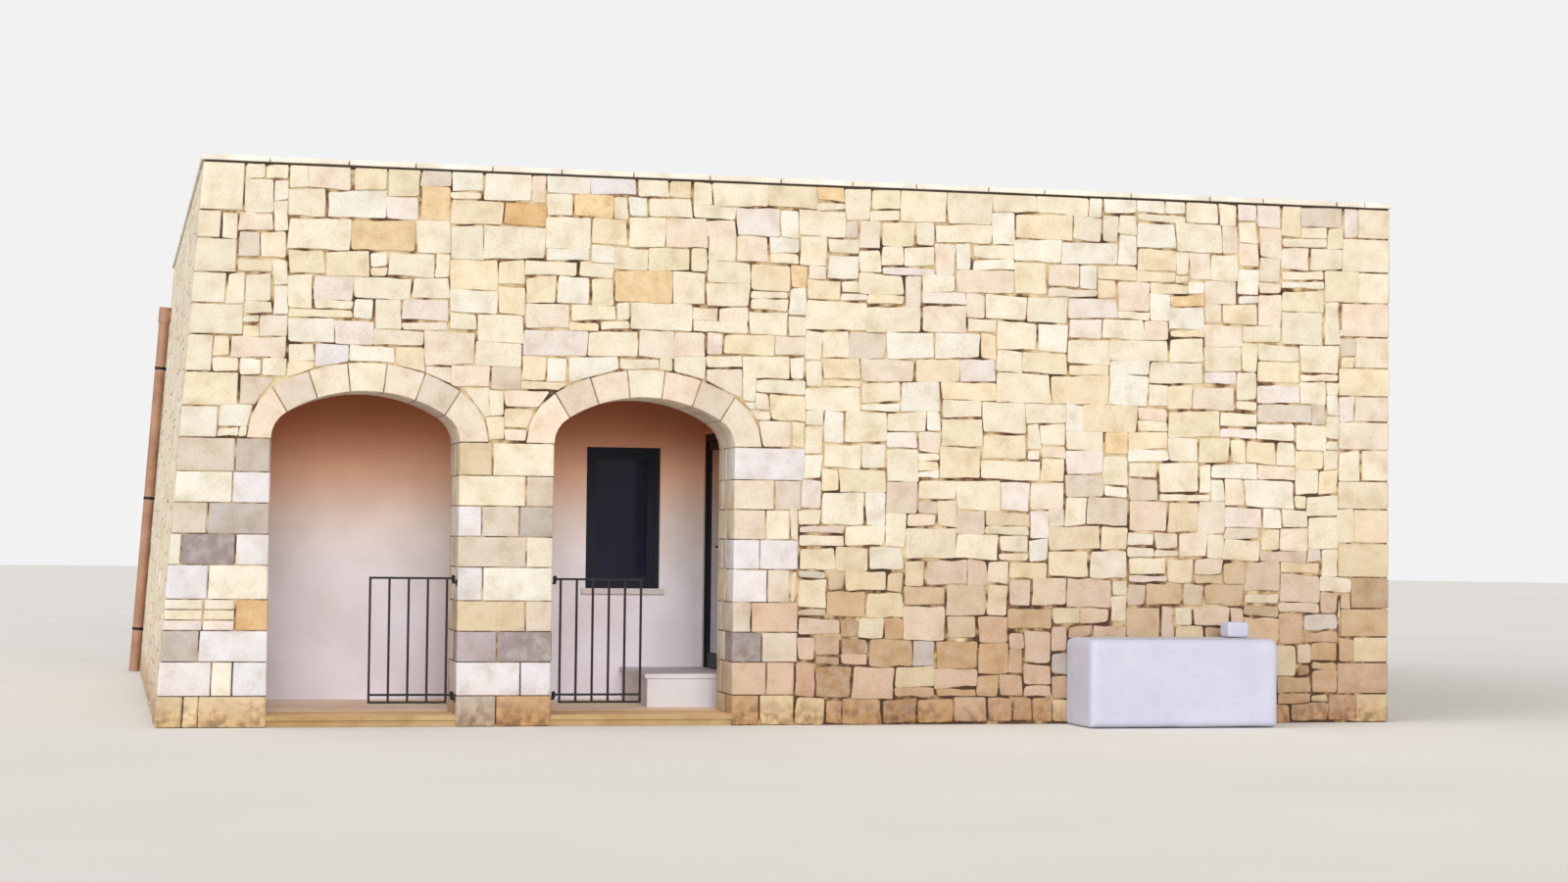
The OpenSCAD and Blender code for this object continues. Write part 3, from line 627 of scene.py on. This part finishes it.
class Heap:
    """Stones gathered for one piece: their points, faces and colours."""

    def __init__(self, seed):
        self.points, self.faces, self.colours = [], [], []
        self.chance = random.Random(seed)

    def add_rings(self, rings, colour, crown=None):
        """Closes a stack of rings of points into one stone, with a flat end or a crown point on top."""
        first, count = len(self.points), len(rings[0])
        for ring in rings:
            self.points.extend(settle(p) for p in ring)
        for level in range(len(rings) - 1):
            base = first + level * count
            for i in range(count):
                j = (i + 1) % count
                self.faces.append((base + i, base + j, base + count + j, base + count + i))
        last = first + (len(rings) - 1) * count
        self.faces.append(tuple(reversed(range(first, first + count))))
        if crown is None:
            self.faces.append(tuple(range(last, last + count)))
        else:
            self.points.append(settle(crown))
            self.faces.extend((last + i, last + (i + 1) % count, last + count) for i in range(count))
        self.colours.extend([colour] * (len(self.points) - first))

    def add_stone(self, face, outline, colour, proud=PROUD, depth=BED, relief=FACE_RELIEF):
        """A stone with a rough face: its outline lies in s and z, its face stands proud of the wall."""
        chance = self.chance
        middle = outline_middle(outline)
        own = Vector([chance.uniform(0, 50) for _ in range(3)])
        tilt = Vector((chance.uniform(-1, 1), chance.uniform(-1, 1))) * TILT
        proud += chance.uniform(-PROUD_SPREAD, PROUD_SPREAD)

        def rough(place, out, wave):
            wave *= lumps(Vector((place.x, place.y, 0)), own)
            out = min(out + wave + (place - middle).dot(tilt), proud + MOST_PROUD)
            return face.point(place.x, place.y, out)

        rings = [[face.point(p.x, p.y, -depth) for p in outline]]
        rings.append([rough(p, proud - EDGE, relief * 0.4) for p in outline])
        rings.append([rough(p + (middle - p).normalized() * EDGE, proud, relief * 0.5) for p in outline])
        for share in (0.3, 0.66):
            rings.append([rough(p + (middle - p) * share, proud + relief * 0.3, relief) for p in outline])
        self.add_rings(rings, colour, rough(middle, proud + relief * 0.3, relief))

    def add_block(self, outline, z0, z1, colour):
        """A stone finished all round: its outline lies on plan, between two bed heights."""
        chance = self.chance
        middle = outline_middle(outline)
        own = Vector([chance.uniform(0, 50) for _ in range(3)])
        count = len(outline)
        sides = [outline[(i + 1) % count] - outline[i - 1] for i in range(count)]
        normals = [Vector((side.y, -side.x)).normalized() for side in sides]

        def ring(z, inset, wave):
            points = []
            for p, normal in zip(outline, normals):
                bulge = wave * lumps(Vector((p.x, p.y, z)), own)
                place = p + normal * bulge + (middle - p).normalized() * inset
                points.append(PLAN.point(place.x, place.y, z))
            return points

        middles = max(1, round((z1 - z0) / STEP) - 1)
        rings = [ring(z0, EDGE, 0), ring(z0 + EDGE, 0, BLOCK_RELIEF * 0.5)]
        for i in range(1, middles + 1):
            rings.append(ring(z0 + (z1 - z0) * i / (middles + 1), 0, BLOCK_RELIEF))
        rings += [ring(z1 - EDGE, 0, BLOCK_RELIEF * 0.5), ring(z1, EDGE, 0)]
        self.add_rings(rings, colour)

    def build(self, name, slot="limestone"):
        """Makes the piece. Each point carries the colour of its stone."""
        mesh = bpy.data.meshes.new(name)
        mesh.from_pydata(self.points, [], self.faces)
        layer = mesh.color_attributes.new("stone_colour", "FLOAT_COLOR", "POINT")
        layer.data.foreach_set("color", np.array(self.colours, np.float32).ravel())
        piece = bpy.data.objects.new(name, mesh)
        bpy.context.scene.collection.objects.link(piece)
        finish_piece(piece, LIMESTONE, 38)


def finish_piece(piece, material, smooth=30):
    """Gives a piece its finish, hangs it under the house's body, and smooths all but its sharp edges."""
    piece.data.materials.clear()
    piece.data.materials.append(material)
    bpy.ops.object.select_all(action="DESELECT")
    piece.select_set(True)
    bpy.context.view_layer.objects.active = piece
    bpy.ops.object.shade_smooth_by_angle(angle=math.radians(smooth))
    piece.select_set(False)
    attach(piece, "house")


def tinted(name, chance):
    """A stone colour by name, each stone a little lighter or warmer than the next."""
    base = linear(STONE_COLOURS[name])
    light = chance.uniform(*BRIGHTNESS)
    warm = chance.uniform(-WARMTH, WARMTH)
    return [base[0] * light * (1 + warm), base[1] * light, base[2] * light * (1 - warm), 1.0]


def stone_colour(face, s, z, chance):
    """Stones are browner towards the foot of a wall, and from higher up right of the arches."""
    tan_from = TAN_FROM_BY_CISTERN if face is FRONT_FACE and s > PIER_3 else TAN_FROM
    share = min(max((tan_from - z) / TAN_FADE + chance.uniform(-TAN_SPREAD, TAN_SPREAD), 0.0), 1.0)
    fresh, tanned = (tinted(chance.choices(list(mix), list(mix.values()))[0], chance)
                     for mix in (UPPER_MIX, LOWER_MIX))
    return [a * (1 - share) + TAN_LIGHT * b * share for a, b in zip(fresh, tanned)]


class Field:
    """Squared rubble laid from the bottom up on one face, on a grid of small cells."""

    def __init__(self, face, chance, taken):
        self.face, self.chance = face, chance
        self.rows, self.columns = round(WALL_TOP / CELL), round(face.length / CELL)
        self.stone_at = np.full((self.rows, self.columns), FREE)
        for s0, z0, s1, z1 in taken:
            rows = slice(max(0, round(z0 / CELL)), round(z1 / CELL))
            self.stone_at[rows, max(0, round(s0 / CELL)):round(s1 / CELL)] = TAKEN
        if face is FRONT_FACE:
            for row, column in np.ndindex(self.rows, self.columns):
                if behind_ring((column + 0.5) * CELL, (row + 0.5) * CELL):
                    self.stone_at[row, column] = BEHIND_RING
        self.stones = []
        for row in range(self.rows):
            self.lay_row(row)

    def lay_row(self, row):
        """Fills the gaps of a row with stones that reach up from it."""
        column = 0
        while column < self.columns:
            if self.stone_at[row, column] != FREE:
                column += 1
                continue
            start, end = self.gap(row, column)
            while start < end:
                wide = self.choose_width(row, start, end)
                tall = self.choose_height(row, start, wide)
                self.stone_at[row:row + tall, start:start + wide] = len(self.stones)
                self.stones.append((start * CELL, row * CELL, (start + wide) * CELL, (row + tall) * CELL))
                start += wide
            column = end

    def gap(self, row, column):
        """The free cells from here on, with a few cells behind an arch ring, where stones are cut off."""
        line = self.stone_at[row]
        end = column
        while end < self.columns and line[end] == FREE:
            end += 1
        start = column
        for _ in range(BEHIND_CELLS):
            if start > 0 and line[start - 1] == BEHIND_RING:
                start -= 1
            if end < self.columns and line[end] == BEHIND_RING:
                end += 1
        return start, end

    def choose_width(self, row, start, end):
        """The best of a few widths: its far end keeps away from the joint below."""
        free = np.flatnonzero(self.stone_at[row, start:end] == FREE)
        run = end - start
        least = free[0] + LEAST_CELLS
        if run <= round(ONE_STONE / CELL) or run < least + LEAST_CELLS:
            return run
        best, best_score = run, -1
        narrow, wider = WIDTHS_HIGH if row * CELL > ROUGH_TO else WIDTHS_LOW
        for _ in range(WIDTH_TRIES):
            if self.chance.random() < NARROW_SHARE:
                wide = self.chance.uniform(NARROWEST, narrow)
            else:
                wide = self.chance.uniform(narrow, wider)
            wide = min(run, max(least, round(wide / CELL)))
            if 0 < free[-1] + 1 - wide < LEAST_CELLS:
                wide = run if run * CELL < WIDEST else free[-1] + 1 - LEAST_CELLS
            if wide > free[-1]:
                wide = run
            score = self.joint_below(row, start + wide) + self.chance.random()
            if score > best_score:
                best, best_score = wide, score
        return best

    def joint_below(self, row, column):
        """How many cells the nearest upright joint in the row below is away, up to where it is clear."""
        if row == 0:
            return JOINT_CLEAR
        below = self.stone_at[row - 1]
        for away in range(JOINT_CLEAR):
            for side in (column - away, column + away):
                if 0 < side < self.columns and below[side] != below[side - 1]:
                    return away
        return JOINT_CLEAR

    def choose_height(self, row, start, wide):
        """A course height that likes to end level with the stone on the left or the right."""
        tall = round(self.chance.choice(COURSES) / CELL)
        for side in (start - 1, start + wide):
            if 0 <= side < self.columns and self.chance.random() < LEVEL_SHARE:
                level = row
                while level < self.rows and self.stone_at[level, side] >= 0:
                    level += 1
                if level - row >= LEAST_CELLS and abs(level - row - tall) <= LEVEL_NEAR:
                    tall = level - row
                    break
        room = 0
        while row + room < self.rows and room < MOST_CELLS:
            cells = self.stone_at[row + room, start:start + wide]
            if not ((cells == FREE) | (cells == BEHIND_RING)).all():
                break
            room += 1
        if room - tall < LEAST_CELLS:
            tall = room if room <= TALLEST_CELLS else room // 2
        return max(1, min(tall, room))

    def place(self, heap):
        """Shapes the stones that were laid out and adds them to a heap."""
        chance = self.chance
        for s0, z0, s1, z1 in self.stones:
            outline = [self.drift(corner) for corner in rectangle(s0, z0, s1, z1)]
            if self.face is FRONT_FACE:
                for middle in ARCH_MIDDLES:
                    outline = cut_to_arch(outline, middle)
            joint, *wear = WORN_FOOT if z0 < ROUGH_TO else TIGHT_TOP
            if len(outline) > 2:
                outline = shrink(outline, joint, chance)
            if len(outline) < 3 or outline_area(outline) < LEAST_STONE:
                continue
            middle = outline_middle(outline)
            colour = stone_colour(self.face, middle.x, middle.y, chance)
            if self.face is FRONT_FACE:
                for s, z, name in ACCENTS:
                    if s0 <= s < s1 and z0 <= z < z1:
                        colour = tinted(name, chance)
            heap.add_stone(self.face, weather(outline, chance, *wear), colour)

    def drift(self, corner):
        """Beds and joints sway a little, and each corner goes its own way a little more."""
        spot = Vector((corner.x * SWAYS_PER_METRE, corner.y * SWAYS_PER_METRE, self.face.length))
        sway = Vector((noise.noise(spot), noise.noise(spot + Vector((9, 4, 2))))) * SWAY
        return corner + sway + Vector([self.chance.uniform(-STRAY, STRAY) for _ in range(2)])


def behind_ring(s, z):
    """Cells of the front that the archways and most of their rings take up."""
    if z < SPRING:
        return PIER_1 < s < PIER_2 or PIER_2_END < s < PIER_3
    return any(off_arch(s, z, middle)[0] < RING - RING_COVERS for middle in ARCH_MIDDLES)


def cut_to_arch(outline, middle):
    """Cuts a stone's outline where an arch ring begins, found again from the middle of what is left."""
    kept = outline
    away = Vector((middle, SPRING))
    for _ in range(2):
        if len(kept) < 3:
            return []
        here = outline_middle(kept)
        if here.y < SPRING - CLEAR_OF_ARCH:
            return outline
        _, turn = off_arch(here.x, here.y, middle)
        kept = cut_outline(outline, arch_point(turn, RING) + away,
                           Vector((math.cos(turn), math.sin(turn))))
    return kept


def course_levels(z0, z1, chance):
    """Bed heights on the grid from z0 to z1, one course of a corner apart."""
    levels = [z0]
    while z1 - levels[-1] > LAST_CORNER:
        levels.append(round((levels[-1] + chance.uniform(*CORNER_COURSES)) / CELL) * CELL)
    levels.append(z1)
    return levels


def lay_corner(heap, at_right, at_back, z_from, taken_front, taken_side):
    """Corner stones, by turns long on one face and long on the other, that also claim their cells."""
    chance = heap.chance
    levels = course_levels(z_from, WALL_TOP, chance)
    for course, (z0, z1) in enumerate(zip(levels, levels[1:])):
        wide, deep = CORNER_SIZES[course % 2]
        wide += CELL * chance.randint(-2, 2)
        deep += CELL * chance.randint(-1, 2)
        s0, s1 = (LENGTH - wide + JOINT / 2, LENGTH + PROUD) if at_right else (-PROUD, wide - JOINT / 2)
        y0, y1 = (DEPTH - deep + JOINT / 2, DEPTH + PROUD) if at_back else (-PROUD, deep - JOINT / 2)
        colour = stone_colour(FRONT_FACE, (s0 + s1) / 2, z0, chance)
        outline = weather(rectangle(s0, y0, s1, y1), chance, BLOCK_WANDER)
        heap.add_block(outline, z0 + JOINT / 2, z1 - JOINT / 2, colour)
        from_right = at_right != at_back
        taken_front.append((LENGTH - wide, z0, LENGTH, z1) if from_right else (0, z0, wide, z1))
        taken_side.append((0, z0, deep, z1) if from_right else (DEPTH - deep, z0, DEPTH, z1))


def lay_pier(heap, s0, s1, courses, left_proud, right_proud, taken=None, taken_side=None):
    """Courses of squared blocks: a front row, and a rear row that shows in the archways.

    A pier that gets taken ends in a toothed edge there and claims its cells of the front. The side of the
    house gets taken_side in the same way.
    """
    chance = heap.chance
    joint = PIER_JOINT / 2
    levels = [round(SPRING * i / PIER_COURSES / CELL) * CELL for i in range(PIER_COURSES)] + [SPRING]
    for course, (z0, z1) in enumerate(zip(levels, levels[1:])):
        stones = [stone.split(":") for stone in courses[course].split()]
        end = s1 + (CELL * chance.randint(0, 5) if taken is not None else right_proud)
        deep = PIER_DEPTHS[course % 2]
        at = s0 - left_proud
        whole = end - at
        for i, (name, share) in enumerate(stones):
            reach = whole * float(share) / 100
            last = i == len(stones) - 1
            left = at + (joint if i else 0)
            right = at + reach - (0 if last and taken is None else joint)
            stack = name.split("/")
            thick = (z1 - z0) / len(stack)
            for layer, colour in enumerate(stack):
                bed = z0 + layer * thick
                outline = weather(rectangle(left, -PROUD, right, deep - joint), chance, BLOCK_WANDER)
                heap.add_block(outline, bed + joint, bed + thick - joint, tinted(colour, chance))
                if layer == 0:
                    after_one_stone = chance.getstate()
            chance.setstate(after_one_stone)
            at += reach
        for side, proud in ((s0, left_proud), (s1, right_proud)):
            if proud == REVEAL_PROUD:
                near, far = (-proud, REVEAL_WIDTH) if side == s0 else (-REVEAL_WIDTH, proud)
                outline = rectangle(side + near, deep + joint, side + far, WALL - BACK_GAP)
                outline = weather(outline, chance, BLOCK_WANDER)
                heap.add_block(outline, z0 + joint, z1 - joint, stone_colour(BACK_FACE, s0, z0, chance))
        if taken is not None:
            taken.append((s0, z0, end, z1))
        if taken_side is not None:
            taken_side.append((DEPTH - deep, z0, DEPTH, z1))


def lay_ring(heap, middle):
    """Wedge stones of an arch, two through its thickness, cut to the curve below and roughly above."""
    chance = heap.chance
    each = CURVE_LENGTH / RING_STONES
    away = Vector((middle, SPRING))
    for i in range(RING_STONES):
        split = RING_DEPTHS[i % 2]
        for near, far in ((-PROUD, split - JOINT / 2), (split + JOINT / 2, WALL - BACK_GAP)):
            start, end = i * each + PIER_JOINT / 2, (i + 1) * each - PIER_JOINT / 2
            top = RING - chance.uniform(0, RING_WANDER)
            under = [arch_point(turn_at(end + (start - end) * k / 4), -REVEAL_PROUD) + away for k in range(5)]
            over = [arch_point(turn_at(start + (end - start) * k / 3), top) + away for k in range(4)]
            colour = tinted(VOUSSOIR_COLOURS[i], chance)
            heap.add_stone(FRONT_FACE, under + over, colour, -near, far, RING_RELIEF)


def lay_walls():
    """The stones of the four walls, their corners, the piers and the arches."""
    corners = Heap(11)
    taken = {face.name: [] for face in (FRONT_FACE, RIGHT_FACE, BACK_FACE, LEFT_FACE)}
    left_pier, middle_pier, right_pier = Heap(21), Heap(22), Heap(23)
    lay_pier(left_pier, 0.0, PIER_1, LEFT_PIER_STONES, PROUD, REVEAL_PROUD, None, taken["left"])
    lay_pier(middle_pier, PIER_2, PIER_2_END, MIDDLE_PIER_STONES, REVEAL_PROUD, REVEAL_PROUD)
    right_end = high("right_pier").x - LEFT_FOOT
    lay_pier(right_pier, PIER_3, right_end, RIGHT_PIER_STONES, REVEAL_PROUD, 0.0, taken["front"])
    taken["front"] += [(0, 0, PIER_1, SPRING), (PIER_2, 0, PIER_2_END, SPRING)]
    lay_corner(corners, False, False, SPRING, taken["front"], taken["left"])
    lay_corner(corners, True, False, 0.0, taken["front"], taken["right"])
    lay_corner(corners, True, True, 0.0, taken["back"], taken["right"])
    lay_corner(corners, False, True, 0.0, taken["back"], taken["left"])
    corners.build("corner_stones")
    for name, heap in (("left", left_pier), ("middle", middle_pier), ("right", right_pier)):
        heap.build(name + "_pier_stones")
    for seed, face in enumerate((FRONT_FACE, RIGHT_FACE, BACK_FACE, LEFT_FACE)):
        heap = Heap(31 + seed)
        Field(face, heap.chance, taken[face.name]).place(heap)
        heap.build(face.name + "_wall_stones")
    for seed, (name, middle) in enumerate(zip(("left", "right"), ARCH_MIDDLES)):
        heap = Heap(41 + seed)
        lay_ring(heap, middle)
        heap.build(name + "_arch_stones", "arch_stone")


lay_walls()


def add_block(name, lowest, highest):
    """A box between two corners, with its place in its mesh."""
    bpy.ops.object.select_all(action="DESELECT")
    bpy.ops.mesh.primitive_cube_add(size=1, location=(lowest + highest) / 2)
    block = bpy.context.active_object
    block.name = name
    block.scale = highest - lowest
    bpy.ops.object.transform_apply(location=True, rotation=True, scale=True)
    return block


def add_modifier(piece, kind, **fields):
    """Adds a modifier, sets it and applies it."""
    modifier = piece.modifiers.new(kind.lower(), kind)
    for name, value in fields.items():
        setattr(modifier, name, value)
    bpy.context.view_layer.objects.active = piece
    bpy.ops.object.modifier_apply(modifier=modifier.name)


def wear_down(piece, size, depth):
    """Takes soft hollows of about this size and depth out of a surface, and adds nothing to it."""
    texture = bpy.data.textures.new(piece.name + "_wear", "CLOUDS")
    texture.noise_scale = size
    add_modifier(piece, "DISPLACE", texture=texture, strength=depth, mid_level=1.0, texture_coords="LOCAL")


def copy_to(piece, matrix):
    """A copy with its own mesh, moved there."""
    copy = piece.copy()
    copy.data = piece.data.copy()
    bpy.context.scene.collection.objects.link(copy)
    copy.matrix_world = matrix
    return copy


def join_all(name, pieces):
    """Joins pieces into one, with its place in its mesh."""
    bpy.ops.object.select_all(action="DESELECT")
    for piece in pieces:
        piece.select_set(True)
    bpy.context.view_layer.objects.active = pieces[0]
    bpy.ops.object.join()
    bpy.ops.object.transform_apply(location=True, rotation=True, scale=True)
    pieces[0].name = name
    return pieces[0]


def cut_grid(piece, cuts):
    """Divides the faces of a piece evenly."""
    bpy.context.view_layer.objects.active = piece
    bpy.ops.object.mode_set(mode="EDIT")
    bpy.ops.mesh.select_all(action="SELECT")
    bpy.ops.mesh.subdivide(number_cuts=cuts)
    bpy.ops.object.mode_set(mode="OBJECT")


def lay_coping(node):
    """A run of sawn slabs on a wall, worn and with open joints, in place of the plain one."""
    start, end = low(node), high(node)
    size = end - start
    along_x = size.x > size.y
    run, width = (size.x, size.y) if along_x else (size.y, size.x)
    slab = add_block("coping_slab", Vector((0, 0, 0)), Vector((1, width, size.z)))
    add_modifier(slab, "BEVEL", width=COPING_EDGE, segments=2)
    cut_grid(slab, 3)
    chance = random.Random(node)
    edges = [0.0]
    while run - edges[-1] > COPING_PAIR:
        edges.append(edges[-1] + chance.uniform(*COPING_LENGTHS))
    edges += [(edges[-1] + run) / 2, run]
    turn = Matrix() if along_x else Matrix.Rotation(math.radians(90), 4, "Z")
    corner = start if along_x else Vector((end.x, start.y, start.z))
    slabs = []
    for here, there in zip(edges, edges[1:]):
        place = Matrix.Translation((here, 0, 0)) @ Matrix.Diagonal((there - here - COPING_JOINT, 1, 1, 1))
        slabs.append(copy_to(slab, Matrix.Translation(corner) @ turn @ place))
    bpy.data.objects.remove(slab)
    coping = join_all(node + "_slabs", slabs)
    wear_down(coping, *COPING_WEAR)
    finish_piece(coping, COPING_STONE, 40)
    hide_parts(node)


def lay_slabs(node, name, spacing, thick, material, slot):
    """Square slabs in rows on a node, a little uneven, with their joints."""
    start, end = low(node), high(node)
    counts = [round((end[i] - start[i]) / spacing) for i in range(2)]
    steps = [(end[i] - start[i]) / counts[i] for i in range(2)]
    first = Vector((start.x + SLAB_JOINT / 2, start.y + SLAB_JOINT / 2, end.z - SLAB_BED))
    size = Vector((steps[0] - SLAB_JOINT, steps[1] - SLAB_JOINT, SLAB_BED + thick))
    slabs = add_block(name, first, first + size)
    add_modifier(slabs, "BEVEL", width=SLAB_EDGE, segments=1)
    for i in range(2):
        offset = Vector((0, 0, 0))
        offset[i] = steps[i]
        add_modifier(slabs, "ARRAY", count=counts[i], use_relative_offset=False,
                     use_constant_offset=True, constant_offset_displace=offset)
    wear_down(slabs, *SLAB_WEAR)
    finish_piece(slabs, material)


def build_cistern():
    """The limewashed cistern: render floated by hand, so no edge is sharp and no face is flat."""
    for node, edge, facet, hollow in RENDERED_BLOCKS:
        start, end = low(node), high(node)
        block = add_block("limewashed_" + node, start, end)
        bpy.ops.object.mode_set(mode="EDIT")
        bpy.ops.mesh.select_all(action="DESELECT")
        bpy.ops.object.mode_set(mode="OBJECT")
        points = block.data.vertices
        for side in block.data.edges:
            a, b = (points[i].co for i in side.vertices)
            at_ground = max(a.z, b.z) < start.z + AT_SAME_PLACE
            at_wall = node == "cistern" and min(a.y, b.y) > end.y - AT_SAME_PLACE
            side.select = not (at_ground or at_wall)
        bpy.ops.object.mode_set(mode="EDIT")
        bpy.ops.mesh.bevel(offset=edge, segments=4, affect="EDGES")
        bpy.ops.object.mode_set(mode="OBJECT")
        add_modifier(block, "REMESH", mode="VOXEL", voxel_size=facet)
        add_modifier(block, "SMOOTH", factor=0.5, iterations=3)
        wear_down(block, RENDER_HOLLOW, hollow)
        finish_piece(block, LIMEWASH, 60)
        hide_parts(node)


# The node under each paving, the name of its slabs, their size and thickness, their finish and its slot
PAVINGS = [
    ("roof_slab", "roof_paving_slabs", 0.4, 0.012, ROOF_STONE, "roof_paving"),
    ("porch_floor", "porch_floor_slabs", 0.42, 0.004, FLOOR_STONE, "floor_stone"),
    ("room_floor_front", "front_room_slabs", 0.42, 0.004, FLOOR_STONE, "floor_stone"),
    ("room_floor_back", "back_room_slabs", 0.42, 0.004, FLOOR_STONE, "floor_stone"),
]
for coping_node in ("front_coping", "left_coping", "right_coping", "back_coping"):
    lay_coping(coping_node)
build_cistern()
for paving in PAVINGS:
    lay_slabs(*paving)


def light_and_camera():
    """Soft light from low in front and from the left, a pale room and the photograph's point of view."""
    scene = bpy.context.scene
    scene.view_settings.view_transform = "Standard"
    world = bpy.data.worlds.new("pale_room")
    world.use_nodes = True
    tree = world.node_tree
    background = tree.nodes["Background"]
    seen = add_node(tree, "LightPath", {}, out="Is Camera Ray")
    for ray in ("Is Glossy Ray", "Is Transmission Ray"):
        other = add_node(tree, "LightPath", {}, out=ray)
        seen = add_node(tree, "Math", {0: seen, 1: other}, operation="MAXIMUM")
    strength = add_node(tree, "MapRange", {"Value": seen, "To Min": SKY_LIGHT, "To Max": 1.0})
    background.inputs["Color"].default_value = linear("#F3F2F2")
    tree.links.new(strength, background.inputs["Strength"])
    scene.world = world
    for name, strength, width, height, side in LIGHTS:
        light = bpy.data.lights.new(name, "SUN")
        light.energy = strength
        light.angle = math.radians(width)
        lamp = bpy.data.objects.new(name, light)
        lamp.rotation_euler = (math.radians(90 - height), 0, math.radians(-side))
        scene.collection.objects.link(lamp)
    data = bpy.data.cameras.new("photo_camera")
    data.lens = PHOTO_LENS * PHOTO_CLOSER
    data.clip_end = 300
    camera = bpy.data.objects.new("photo_camera", data)
    turn = Matrix.Rotation(math.radians(-PHOTO_YAW), 4, "Z")
    turn @= Matrix.Rotation(math.radians(90 + PHOTO_PITCH), 4, "X")
    turn @= Matrix.Rotation(math.radians(PHOTO_ROLL), 4, "Z")
    camera.matrix_world = Matrix.Translation(EYE + Vector((LEFT_FOOT, FRONT, 0))) @ turn
    scene.collection.objects.link(camera)
    scene.camera = camera


def lay_floor():
    """A wide pale floor just under the house."""
    bpy.ops.mesh.primitive_circle_add(vertices=96, radius=STAGE_RADIUS, fill_type="NGON",
                                      location=(0, 0, -STAGE_DROP))
    floor = bpy.context.active_object
    floor.name = "pale_floor"
    material, add, where = new_material("pale_floor_paint")
    cloud = add("TexNoise", {"Vector": where, "Scale": repeats(3300)})
    colour = add("ValToRGB", {"Fac": cloud}, stops=[(0.3, "#E4E1DB"), (0.7, "#E8E5E0")])
    floor.data.materials.append(finish_material(material, colour, 0.9))


light_and_camera()
lay_floor()
